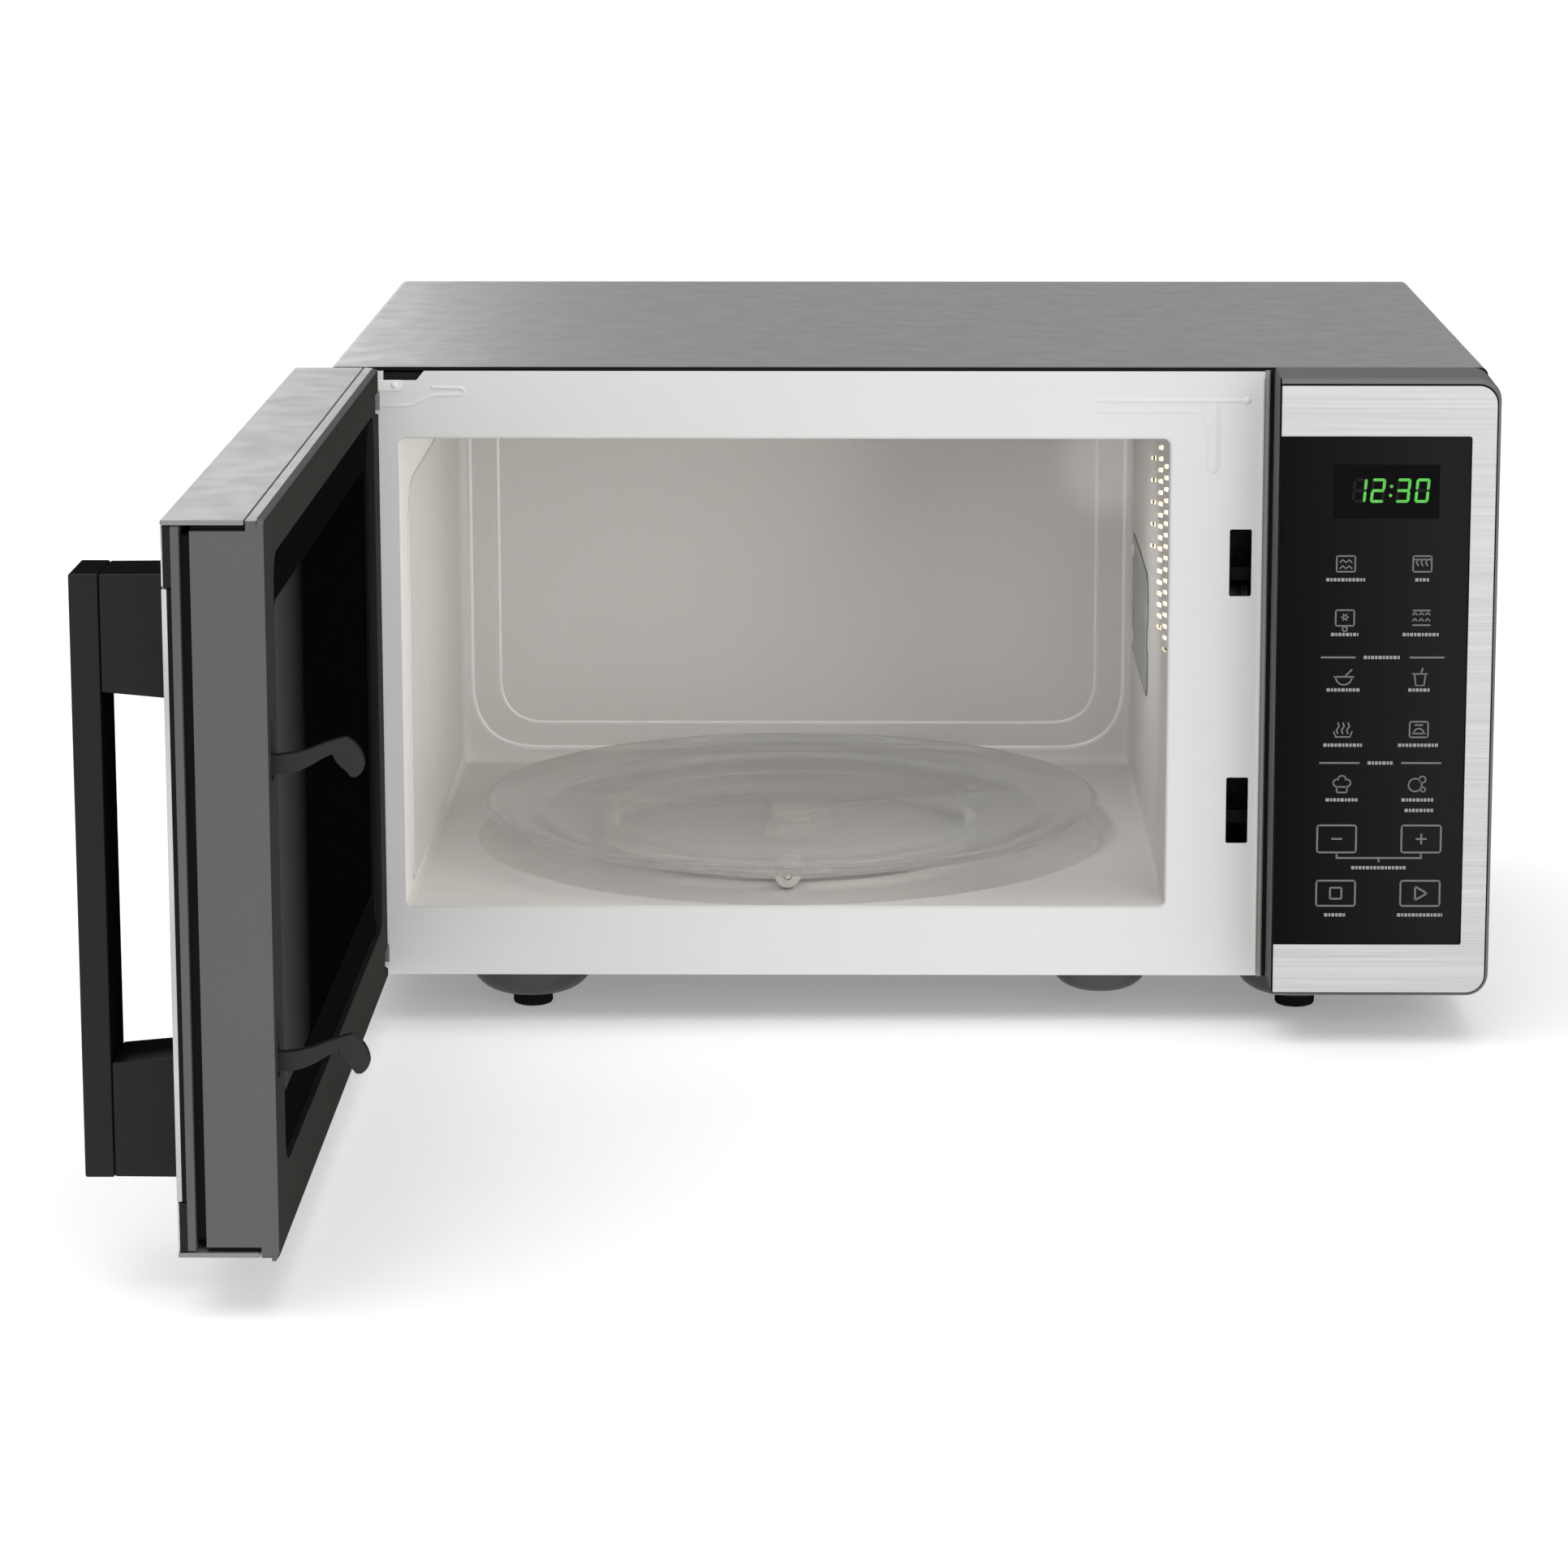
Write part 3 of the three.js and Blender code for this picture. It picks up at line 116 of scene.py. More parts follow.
def circle(x, y, radius, steps=48):
    turn = 2 * math.pi / steps
    return [(x + radius * math.cos(i * turn), y + radius * math.sin(i * turn)) for i in range(steps)]


def arc(x, y, radius, start, end, steps=12):
    """Points on an arc, with its angles in degrees."""
    angles = [math.radians(start + (end - start) * i / steps) for i in range(steps + 1)]
    return [(x + radius * math.cos(a), y + radius * math.sin(a)) for a in angles]


def curved(points, steps=8):
    """A line through points. A pair of points in place of one is a curve's control point and its end."""
    line = []
    for point in points:
        if isinstance(point[0], (int, float)):
            line.append(point)
            continue
        (cx, cy), (ex, ey) = point
        sx, sy = line[-1]
        for i in range(1, steps + 1):
            t = i / steps
            line.append(((1 - t) ** 2 * sx + 2 * t * (1 - t) * cx + t * t * ex,
                         (1 - t) ** 2 * sy + 2 * t * (1 - t) * cy + t * t * ey))
    return line


PLANES = {
    "XZ": lambda a, b, depth: (a, depth, b),
    "XY": lambda a, b, depth: (a, b, depth),
    "YZ": lambda a, b, depth: (depth, a, b),
}


def prism(loops, start, end, plane="XZ"):
    """A straight plate: the first loop is its outline and the others are holes."""
    mesh = bmesh.new()
    place = PLANES[plane]
    ends = []
    for depth in (start, end):
        ends.append([[mesh.verts.new(place(a, b, depth)) for a, b in loop] for loop in loops])
    for near, far in zip(*ends):
        for i in range(len(near)):
            j = (i + 1) % len(near)
            mesh.faces.new((near[i], near[j], far[j], far[i]))
    flat = [[Vector((a, b, 0)) for a, b in loop] for loop in loops]
    triangles = tessellate_polygon(flat) if len(loops) > 1 else [range(len(loops[0]))]
    for rings in ends:
        corners = [corner for ring in rings for corner in ring]
        for face in triangles:
            mesh.faces.new([corners[i] for i in face])
    bmesh.ops.recalc_face_normals(mesh, faces=mesh.faces)
    return mesh


def block(left, right, front, back, low, high):
    return prism([[(left, low), (right, low), (right, high), (left, high)]], front, back)


def loft(rings, capped=True):
    """A skin over rings with the same number of points."""
    mesh = bmesh.new()
    rows = [[mesh.verts.new(point) for point in ring] for ring in rings]
    for near, far in zip(rows, rows[1:]):
        for i in range(len(near)):
            j = (i + 1) % len(near)
            mesh.faces.new((near[i], near[j], far[j], far[i]))
    if capped:
        mesh.faces.new(rows[0])
        mesh.faces.new(rows[-1])
    bmesh.ops.recalc_face_normals(mesh, faces=mesh.faces)
    return mesh


def turned(profile, segments=64, closed=False):
    """A solid of revolution about Z. The profile is a list of (radius, height)."""
    mesh = bmesh.new()
    rows = []
    for radius, height in profile:
        count = 1 if radius < 1e-6 else segments
        angles = [2 * math.pi * i / segments for i in range(count)]
        rows.append([mesh.verts.new((radius * math.cos(a), radius * math.sin(a), height)) for a in angles])
    pairs = list(zip(rows, rows[1:]))
    if closed:
        pairs.append((rows[-1], rows[0]))
    for near, far in pairs:
        for i in range(segments):
            j = (i + 1) % segments
            corners = [near[i % len(near)], near[j % len(near)], far[j % len(far)], far[i % len(far)]]
            corners = list(dict.fromkeys(corners))
            if len(corners) > 2:
                mesh.faces.new(corners)
    bmesh.ops.recalc_face_normals(mesh, faces=mesh.faces)
    return mesh


def sweep(path, section, up, sizes=None):
    """A section of (sideways, upwards) points carried along a path, and shrunk by sizes on the way."""
    path = [Vector(p) for p in path]
    up = Vector(up)
    rings = []
    for i, at in enumerate(path):
        along = path[min(i + 1, len(path) - 1)] - path[max(i - 1, 0)]
        side = along.cross(up).normalized()
        size = sizes[i] if sizes else 1
        rings.append([at + side * u * size + up * v * size for u, v in section])
    return loft(rings)


def rib(path, width, height, up, sink=0.25):
    """A line pressed out of a sheet: a soft-edged ridge with round ends, closed below the sheet's face."""
    path = [Vector(p) for p in path]
    count = 8
    section = []
    for i in range(count + 1):
        u = i / count * 2 - 1
        section.append((u * width / 2, height * math.cos(math.pi * u / 2) ** 2))
    section += [(width / 2, -sink), (-width / 2, -sink)]
    tips = 5
    start = (path[0] - path[1]).normalized()
    end = (path[-1] - path[-2]).normalized()
    reach = [(math.cos(math.pi / 2 * i / tips), math.sin(math.pi / 2 * i / tips)) for i in range(1, tips)]
    line = [path[0] + start * out * width / 2 for out, _ in reach] + path
    line += [path[-1] + end * out * width / 2 for out, _ in reversed(reach)]
    sizes = [size for _, size in reach] + [1] * len(path) + [size for _, size in reversed(reach)]
    return sweep(line, section, up, sizes)


def polyline(points, radius, steps=6):
    """A line through 2-D points, with its bends rounded."""
    line = [points[0]]
    for before, at, after in zip(points, points[1:], points[2:]):
        at, into, out = Vector(at), Vector(before) - Vector(at), Vector(after) - Vector(at)
        cut = min(radius, into.length / 2, out.length / 2)
        first, last = at + into.normalized() * cut, at + out.normalized() * cut
        line += [tuple(first)] + curved([tuple(first), (tuple(at), tuple(last))], steps)[1:]
    return line + [points[-1]]


def offset(x, y, z):
    return Matrix.Translation((x, y, z))


def moved(mesh, matrix):
    bmesh.ops.transform(mesh, matrix=matrix, verts=mesh.verts)
    return mesh


def merged(*meshes):
    """Several meshes as one, in place of them."""
    whole = bpy.data.meshes.new("merged")
    result = bmesh.new()
    for mesh in meshes:
        mesh.to_mesh(whole)
        mesh.free()
        result.from_mesh(whole)
    bpy.data.meshes.remove(whole)
    return result


def carved(mesh, *cutters):
    """A mesh with the cutters cut out of it."""
    objects = []
    for part in (mesh, merged(*cutters)):
        data = bpy.data.meshes.new("carving")
        part.to_mesh(data)
        part.free()
        objects.append(bpy.data.objects.new("carving", data))
        bpy.context.scene.collection.objects.link(objects[-1])
    modifier = objects[0].modifiers.new("cut", "BOOLEAN")
    modifier.object = objects[1]
    modifier.solver = "EXACT"
    modifier.use_self = True
    result = bmesh.new()
    result.from_object(objects[0], bpy.context.evaluated_depsgraph_get())
    for carving in objects:
        data = carving.data
        bpy.data.objects.remove(carving)
        bpy.data.meshes.remove(data)
    return result


def paint(mesh, index, facing, where=None, least=0.9):
    """Gives a finish by number to the faces that face a direction."""
    facing = Vector(facing)
    mesh.normal_update()
    for face in mesh.faces:
        if face.normal.dot(facing) > least and (where is None or where(face.calc_center_median())):
            face.material_index = index
    return mesh


# ------------------------------------------------------------------------------------------------
# Pieces
# ------------------------------------------------------------------------------------------------
def soften(obj, width, segments, angle):
    bevel = obj.modifiers.new("soft_edges", "BEVEL")
    bevel.width = width * MM
    bevel.segments = segments
    bevel.limit_method = "ANGLE"
    bevel.angle_limit = math.radians(angle)
    bevel.use_clamp_overlap = True
    bevel.harden_normals = True


def piece(name, mesh, finish, body, space=CABINET, stands_for=(), bevel=0, segments=3, angle=35):
    """Makes an object of a mesh drawn in millimetres, and lets it ride on a CAD body."""
    moved(mesh, space)
    data = bpy.data.meshes.new(name)
    mesh.to_mesh(data)
    mesh.free()
    for each in finish if isinstance(finish, (list, tuple)) else [finish]:
        data.materials.append(each)
    data.shade_smooth()
    data.set_sharp_from_angle(angle=math.radians(angle))
    obj = bpy.data.objects.new(name, data)
    bpy.context.scene.collection.objects.link(obj)
    if bevel:
        soften(obj, bevel, segments, angle)
    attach(obj, body)
    if stands_for:
        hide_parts(*stands_for)
    return obj


def dress(node, finish, bevel=0.4, segments=2):
    """Gives a CAD node its finish, and soft edges."""
    obj = frame["nodes"][node]
    obj.material_slots[0].material = finish
    weld = obj.modifiers.new("weld", "WELD")
    weld.merge_threshold = 0.01 * MM
    if bevel:
        soften(obj, bevel, segments, 32)


# ------------------------------------------------------------------------------------------------
# Finishes
# ------------------------------------------------------------------------------------------------
class Finish:
    """A procedural material. Sizes of its grain are in millimetres."""

    def __init__(self, name, color, roughness, metallic=0.0, **sockets):
        self.material = bpy.data.materials.new(name)
        self.material.use_nodes = True
        self.tree = self.material.node_tree
        self.shader = self.tree.nodes["Principled BSDF"]
        self.color = color
        self.roughness = roughness
        self.set("Base Color", (*color, 1))
        self.set("Roughness", roughness)
        self.set("Metallic", metallic)
        for socket, value in sockets.items():
            self.set(socket.replace("_", " "), value)
        self.place = self.tree.nodes.new("ShaderNodeTexCoord").outputs["Object"]

    def set(self, socket, value):
        self.shader.inputs[socket].default_value = value

    def stretched(self, size):
        """The place divided by a size in millimetres along X, Y and Z."""
        mapping = self.tree.nodes.new("ShaderNodeMapping")
        mapping.inputs["Scale"].default_value = [1 / (each * MM) for each in size]
        self.tree.links.new(self.place, mapping.inputs["Vector"])
        return mapping.outputs["Vector"]

    def noise(self, size, detail=3.0):
        node = self.tree.nodes.new("ShaderNodeTexNoise")
        node.inputs["Scale"].default_value = 1
        node.inputs["Detail"].default_value = detail
        size = size if isinstance(size, (list, tuple)) else [size] * 3
        self.tree.links.new(self.stretched(size), node.inputs["Vector"])
        return node.outputs["Fac"]

    def cells(self, size, output="Distance", feature="F1", randomness=1.0):
        node = self.tree.nodes.new("ShaderNodeTexVoronoi")
        node.feature = feature
        node.inputs["Scale"].default_value = 1
        node.inputs["Randomness"].default_value = randomness
        size = size if isinstance(size, (list, tuple)) else [size] * 3
        self.tree.links.new(self.stretched(size), node.inputs["Vector"])
        return node.outputs[output]

    def bands(self, size, direction="Z", distortion=0.0):
        node = self.tree.nodes.new("ShaderNodeTexWave")
        node.wave_type = "BANDS"
        node.bands_direction = direction
        node.inputs["Scale"].default_value = 1
        node.inputs["Distortion"].default_value = distortion
        self.tree.links.new(self.stretched([size * 3.1] * 3), node.inputs["Vector"])
        return node.outputs["Fac"]

    def fade(self, pattern, low, high, start=0.35, end=0.65):
        node = self.tree.nodes.new("ShaderNodeMapRange")
        for socket, value in (("From Min", start), ("From Max", end), ("To Min", low), ("To Max", high)):
            node.inputs[socket].default_value = value
        self.tree.links.new(pattern, node.inputs["Value"])
        return node.outputs["Result"]

    def tint(self, pattern, other, start=0.35, end=0.65):
        """Blends the colour into another one by a pattern, on top of the blends before it."""
        mix = self.tree.nodes.new("ShaderNodeMix")
        mix.data_type = "RGBA"
        base = self.shader.inputs["Base Color"]
        if base.is_linked:
            self.tree.links.new(base.links[0].from_socket, mix.inputs["A"])
        else:
            mix.inputs["A"].default_value = (*self.color, 1)
        mix.inputs["B"].default_value = (*other, 1)
        self.tree.links.new(self.fade(pattern, 0, 1, start, end), mix.inputs["Factor"])
        self.tree.links.new(mix.outputs["Result"], base)
        return self

    def rough(self, pattern, spread, start=0.35, end=0.65):
        faded = self.fade(pattern, self.roughness - spread, self.roughness + spread, start, end)
        self.tree.links.new(faded, self.shader.inputs["Roughness"])
        return self

    def dulled(self, straight, grazing=0.0):
        """Lowers the reflection from one seen straight on to one seen along the surface."""
        weight = self.tree.nodes.new("ShaderNodeLayerWeight")
        weight.inputs["Blend"].default_value = 0.5
        faded = self.fade(weight.outputs["Facing"], straight, grazing, 0.35, 0.75)
        self.tree.links.new(faded, self.shader.inputs["Specular IOR Level"])
        return self

    def across(self, axis, start, end, other):
        """Blends the colour into another one along an axis, between two places in metres."""
        separate = self.tree.nodes.new("ShaderNodeSeparateXYZ")
        self.tree.links.new(self.place, separate.inputs["Vector"])
        return self.tint(separate.outputs[axis], other, start, end)

    def bump(self, pattern, height, strength=1.0):
        """Raises the surface by a pattern, by a height in millimetres."""
        node = self.tree.nodes.new("ShaderNodeBump")
        node.inputs["Strength"].default_value = strength
        node.inputs["Distance"].default_value = height * MM
        self.tree.links.new(pattern, node.inputs["Height"])
        normal = self.shader.inputs["Normal"]
        if normal.is_linked:
            self.tree.links.new(normal.links[0].from_socket, node.inputs["Normal"])
        self.tree.links.new(node.outputs["Normal"], normal)
        return self


def shade(color, factor):
    return tuple(min(1.0, part * factor) for part in color)


def painted(name, color, roughness, metallic=0.0, texture=0.02, **sockets):
    """Baked paint or enamel: faint clouds in its colour and gloss, and orange peel."""
    finish = Finish(name, color, roughness, metallic, **sockets)
    finish.tint(finish.noise(120), shade(color, 0.97), 0.3, 0.8)
    finish.rough(finish.noise(14), 0.03)
    finish.bump(finish.noise(3.5, 1), texture)
    return finish.material


def moulded(name, color, roughness, grain=0.7, texture=0.03, gloss=0.3, **sockets):
    """Moulded plastic with a spark-eroded grain, a little worn."""
    finish = Finish(name, color, roughness, **sockets).dulled(gloss)
    finish.tint(finish.noise(45), shade(color, 0.94), 0.3, 0.8)
    finish.tint(finish.noise(0.6, 1), shade(color, 1.1), 0.5, 0.8)
    finish.rough(finish.noise(12, 3), 0.04)
    finish.bump(finish.cells(grain), texture)
    return finish.material


def brushed(name, color, roughness, grain=(60, 0.35, 0.35), metallic=1.0, contrast=0.8):
    """Metal brushed along the grain's long side."""
    finish = Finish(name, color, roughness, metallic, Anisotropic=0.5)
    finish.tint(finish.noise(grain, 4), shade(color, contrast), 0.35, 0.75)
    finish.tint(finish.noise([each * 5 for each in grain], 2), shade(color, 1.06), 0.5, 0.8)
    finish.rough(finish.noise(grain, 3), 0.05)
    finish.bump(finish.noise(grain, 3), 0.02, 0.6)
    return finish.material


def glossy(name, color, roughness=0.05, gloss=0.4, **sockets):
    """Printed glass or gloss plastic, with the faint smears of wiping."""
    finish = Finish(name, color, roughness, **sockets).dulled(gloss)
    finish.rough(finish.noise((60, 60, 18), 4), 0.025, 0.45, 0.8)
    finish.tint(finish.noise(60), shade(color, 1.4), 0.4, 0.9)
    finish.bump(finish.noise(120, 1), 0.05)
    return finish.material


def plated(name, color, roughness=0.35):
    """Zinc plate with its spangle."""
    finish = Finish(name, color, roughness, 1.0)
    finish.tint(finish.cells(9, "Color"), shade(color, 0.78), 0.2, 0.9)
    finish.rough(finish.cells(9, "Color"), 0.09, 0.1, 0.9)
    finish.bump(finish.noise(3), 0.03)
    return finish.material


def window_glass():
    """The door's window: black glass in front of a perforated sheet, with painted light on the sheet along the
    door's free side.
    """
    finish = Finish("window_glass", (0.002, 0.002, 0.0022), 0.12).dulled(0.4)
    separate = finish.tree.nodes.new("ShaderNodeSeparateXYZ")
    finish.tree.links.new(finish.place, separate.inputs["Vector"])
    # painted light: the sheet is tinted lighter towards the door's free side
    lit = finish.fade(separate.outputs["Y"], 0.36, 0.0, -0.325, -0.235)
    mesh = finish.fade(finish.cells(2.3, "Distance", randomness=0.0), 0, 1, 0.3, 0.4)
    both = finish.tree.nodes.new("ShaderNodeMath")
    both.operation = "MULTIPLY"
    finish.tree.links.new(lit, both.inputs[0])
    finish.tree.links.new(mesh, both.inputs[1])
    finish.tint(both.outputs["Value"], (0.16, 0.16, 0.16), 0, 1)
    finish.rough(finish.noise(40, 4), 0.03)
    return finish.material


def panel_glass():
    """The panel's black glass, with a painted reflection that makes it a little lighter away from the door."""
    low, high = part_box("panel_glass")
    finish = Finish("panel_glass", (0.0015, 0.0015, 0.002), 0.1).dulled(0.05)
    finish.across("X", low.x, high.x - 0.01, (0.011, 0.011, 0.0115))
    finish.rough(finish.noise((60, 60, 18), 4), 0.03, 0.45, 0.8)
    finish.bump(finish.noise(120, 1), 0.05)
    return finish.material


def clear_glass():
    finish = Finish("clear_glass", (0.93, 0.96, 0.95), 0.02, Transmission_Weight=1.0, IOR=1.48, Alpha=0.6)
    finish.rough(finish.noise(30, 3), 0.015)
    finish.bump(finish.noise(40, 2), 0.06)
    return finish.material


def wound_copper():
    finish = Finish("wound_copper", (0.45, 0.17, 0.06), 0.3, 0.9, Coat_Weight=0.4)
    finish.tint(finish.bands(1.1), (0.18, 0.06, 0.02), 0.0, 0.35)
    finish.bump(finish.bands(1.1), 0.3)
    return finish.material


def laminated_iron():
    finish = Finish("laminated_iron", (0.16, 0.16, 0.17), 0.5, 0.8)
    finish.tint(finish.bands(0.9, "Y"), (0.05, 0.05, 0.055), 0.0, 0.4)
    finish.tint(finish.noise(12, 4), (0.2, 0.13, 0.09), 0.6, 0.8)
    finish.bump(finish.bands(0.9, "Y"), 0.15)
    return finish.material


def circuit_board(name, color, track):
    finish = Finish(name, color, 0.4, Coat_Weight=0.3)
    finish.tint(finish.cells(4, "Distance", "DISTANCE_TO_EDGE"), track, 0.12, 0.05)
    finish.tint(finish.noise(25), shade(color, 0.7))
    finish.bump(finish.cells(4, "Distance", "DISTANCE_TO_EDGE"), 0.05)
    return finish.material


def mica_sheet():
    finish = Finish("mica_sheet", (0.25, 0.275, 0.255), 0.42, Coat_Weight=0.25)
    finish.tint(finish.cells(6, "Color"), (0.34, 0.36, 0.33), 0.1, 0.9)
    finish.tint(finish.noise(16, 6), (0.17, 0.19, 0.17), 0.5, 0.7)
    finish.bump(finish.cells(3), 0.06)
    return finish.material


def glowing(name, color, strength, dark):
    """A lit surface with a slightly uneven glow."""
    finish = Finish(name, dark, 0.3)
    finish.set("Emission Color", (*color, 1))
    faded = finish.fade(finish.noise(3), strength * 0.85, strength * 1.1)
    finish.tree.links.new(faded, finish.shader.inputs["Emission Strength"])
    return finish.material


SILVER = painted("silver_paint", (0.19, 0.19, 0.188), 0.36, 0.45, 0.004)
WHITE = painted("white_enamel", (0.76, 0.76, 0.757), 0.35, 0.0, 0.004, Specular_IOR_Level=0.3)
LINER = painted("cavity_enamel", (0.69, 0.672, 0.652), 0.35, 0.0, 0.004, Specular_IOR_Level=0.35)
# a lighter copy of the cavity enamel: painted light on the left wall's border, the back wall's ridges and the
# hinge lug
LINER_PAINTED_LIGHT = painted("cavity_enamel_painted_light", (0.87, 0.865, 0.85), 0.35, 0.0, 0.004)
DOOR_SILVER = painted("door_silver", (0.235, 0.235, 0.233), 0.4, 0.1, 0.004)
DOOR_GREY = moulded("door_grey", (0.1, 0.1, 0.1), 0.45, gloss=0.25)
INNER_BLACK = moulded("inner_black", (0.043, 0.041, 0.038), 0.5, gloss=0.15)
# black for black parts, and painted shade where gaps, grooves and shaded sides are made black
BLACK_AND_PAINTED_SHADE = moulded("black_and_painted_shade", (0.005, 0.005, 0.005), 0.5, gloss=0.1)
HANDLE_BLACK = moulded("handle_black", (0.009, 0.009, 0.009), 0.3, 0.5, 0.01, gloss=0.2)
HOOK_BLACK = moulded("hook_black", (0.016, 0.016, 0.016), 0.4, gloss=0.25)
MOULDING = moulded("moulding_grey", (0.14, 0.14, 0.14), 0.4)
# the moulding's plastic, made lighter and warmer as a painted reflection on the flange's bead
FLANGE_PAINTED_REFLECTION = moulded("flange_grey_painted_reflection", (0.3, 0.285, 0.26), 0.25)
BASE_GREY = painted("base_grey", (0.06, 0.06, 0.06), 0.4, 0.3)
STEEL = brushed("brushed_steel", (0.58, 0.58, 0.577), 0.34, (90, 0.5, 0.5), contrast=0.8)
PANE = glossy("black_glass", (0.003, 0.003, 0.0035), 0.08, 0.3)
PANEL_PANE = panel_glass()
# a light grey glass finish as painted light on the door pane's lit edges
PANE_EDGE_PAINTED_LIGHT = glossy("glass_edge_painted_light", (0.45, 0.46, 0.455), 0.15)
WINDOW = window_glass()
CLEAR = clear_glass()
RUBBER = moulded("rubber", (0.006, 0.006, 0.006), 0.75, 0.4, 0.05, gloss=0.1)
ZINC = plated("zinc_steel", (0.55, 0.56, 0.57))
BLACK_PLASTIC = moulded("black_plastic", (0.01, 0.01, 0.0105), 0.45, gloss=0.15)
PALE_PLASTIC = moulded("pale_plastic", (0.72, 0.71, 0.67), 0.4)
CERAMIC = painted("white_ceramic", (0.78, 0.75, 0.7), 0.5, 0.0, 0.06)
ALUMINIUM = brushed("aluminium", (0.7, 0.71, 0.72), 0.33, (0.4, 0.4, 30))
COPPER = wound_copper()
IRON = laminated_iron()
GREEN_BOARD = circuit_board("green_board", (0.02, 0.09, 0.035), (0.06, 0.2, 0.07))
TAN_BOARD = circuit_board("tan_board", (0.36, 0.22, 0.09), (0.5, 0.34, 0.16))
MICA = mica_sheet()
QUARTZ = painted("heater_quartz", (0.7, 0.66, 0.6), 0.35, 0.0, 0.05)
ICON_PRINT = painted("icon_print", (0.17, 0.17, 0.17), 0.5, Specular_IOR_Level=0.1)
LABEL_PRINT = painted("label_print", (0.3, 0.3, 0.3), 0.5, Specular_IOR_Level=0.1)
DIGIT = glowing("lit_digit", (0.1, 0.62, 0.06), 0.8, (0.01, 0.06, 0.01))
UNLIT = painted("display_window", (0.0015, 0.0015, 0.0015), 0.4, Specular_IOR_Level=0.05)
FAINT = painted("faint_segment", (0.012, 0.012, 0.012), 0.4, Specular_IOR_Level=0.05)
LAMP_GLOW = glowing("lamp_glow", (1.0, 0.88, 0.6), 2.2, (0.8, 0.7, 0.5))


# ------------------------------------------------------------------------------------------------
# Cabinet
# ------------------------------------------------------------------------------------------------
SHEET_BEND = 3.5


def cover_section(low, side, top, thick, bend, steps=10):
    """The cover's folded sheet seen from the front, from its lower left round to its lower right and back."""
    outside = [(-side, low)] + arc(-side + bend, top - bend, bend, 180, 90, steps)
    outside += arc(side - bend, top - bend, bend, 90, 0, steps) + [(side, low)]
    inside = [(side - thick, low)] + arc(side - bend, top - bend, bend - thick, 0, 90, steps)
    inside += arc(-side + bend, top - bend, bend - thick, 90, 180, steps) + [(-side + thick, low)]
    return outside + inside


def louvre(x, y, z, length, outwards):
    """A slot pressed out of the cover's side, kept within the sheet."""
    path = [(x, y - length / 2, z), (x, y, z), (x, y + length / 2, z)]
    return rib(path, 5, 1.1, (outwards, 0, 0), 0.1)


def build_cover():
    low, high = node_box("outer_cover")
    side = high.x
    thick = side + node_box("front_frame")[0].x - 0.3
    section = cover_section(low.z, side - 0.9, high.z, thick, SHEET_BEND)
    hem = 2.5
    shell = prism([section], low.y + hem, high.y)
    lip = prism([cover_section(low.z, side - 0.9, high.z, 1.6, SHEET_BEND)], low.y, low.y + hem - 0.4)
    # painted shadow: the hem's front face is made black for the dark gap above the frame
    paint(lip, 1, (0, -1, 0))
    louvres = []
    for sign in (-1, 1):
        rows = 9
        for i in range(rows):
            for y in (high.y * 0.62, high.y * 0.82):
                louvres.append(louvre(sign * (side - 0.95), y, low.z + 40 + 9 * i, 42, sign))
    piece("cover_shell", merged(shell, lip, *louvres), [SILVER, BLACK_AND_PAINTED_SHADE], "cabinet",
          stands_for=["outer_cover"], bevel=0.35)


def screw(name, x, z, back, body="cabinet", radius=3.6):
    """A cross-head sheet-metal screw in the rear panel, facing back."""
    profile = [(0, 0), (radius, 0), (radius, 0.7), (radius * 0.8, 1.5), (radius * 0.4, 1.8), (0, 1.85)]
    head = turned(profile, 32)
    slots = [block(-0.45, 0.45, -2, 2, 0.9, 3), block(-2, 2, -0.45, 0.45, 0.9, 3)]
    turn = offset(x, back, z) @ Matrix.Rotation(-math.pi / 2, 4, "X")
    return piece(name, moved(carved(head, *slots), turn), ZINC, body, bevel=0.12, segments=2)


def build_back():
    low, high = node_box("rear_panel")
    dress("rear_panel", ZINC, 0.3)
    inset = 7
    places = [(low.x + inset, low.z + 14), (low.x + inset, high.z - 14), (high.x - inset, low.z + 14),
              (high.x - inset, high.z - 14), (-60, high.z - 6), (80, high.z - 6), (0, low.z + 6)]
    for i, (x, z) in enumerate(places):
        screw(f"rear_screw_{i + 1}", x, z, high.y)
    ridges = [rib([(x, high.y, low.z + 40), (x, high.y, (low.z + high.z) / 2), (x, high.y, high.z - 90)],
                  9, 1.4, (0, 1, 0)) for x in (-190, -120, -50, 20)]
    piece("rear_panel_ribs", merged(*ridges), ZINC, "cabinet")

    gland_low, gland_high = node_box("cord_gland")
    x, z = (gland_low.x + gland_high.x) / 2, (gland_low.z + gland_high.z) / 2
    wide = (gland_high.x - gland_low.x) / 2
    proud = gland_high.y - high.y
    profile = [(5, -10), (9, -10), (9, 0.3), (wide, 0.3), (wide, 1.2), (wide - 1.4, proud), (6.4, proud),
               (5.6, proud - 0.6), (5, proud - 2)]
    turn = offset(x, high.y, z) @ Matrix.Rotation(-math.pi / 2, 4, "X")
    piece("cord_bushing", moved(turned(profile, 48, closed=True), turn), BLACK_PLASTIC, "cabinet",
          stands_for=["cord_gland"])


def build_hinge_lug(front, notch_low):
    """The lug with its pin, under the notch at the upper hinge, in the lighter enamel as a painted highlight."""
    left = node_box("hinge_upper")[1].x
    outline = rounded(left - 1, left + 10, notch_low - 4.6, notch_low + 0.2, [0.3, 2, 1, 0.3], 4)
    lug = prism([outline], front - 0.6, front - 0.1)
    head = turned([(0, 0.6), (1.0, 0.5), (1.5, 0.2), (1.6, 0), (0, 0)], 24)
    place = offset(left + 6.4, front - 0.5, notch_low - 2) @ Matrix.Rotation(math.pi / 2, 4, "X")
    piece("hinge_lug", merged(lug, moved(head, place)), LINER_PAINTED_LIGHT, "cabinet", bevel=0.3)


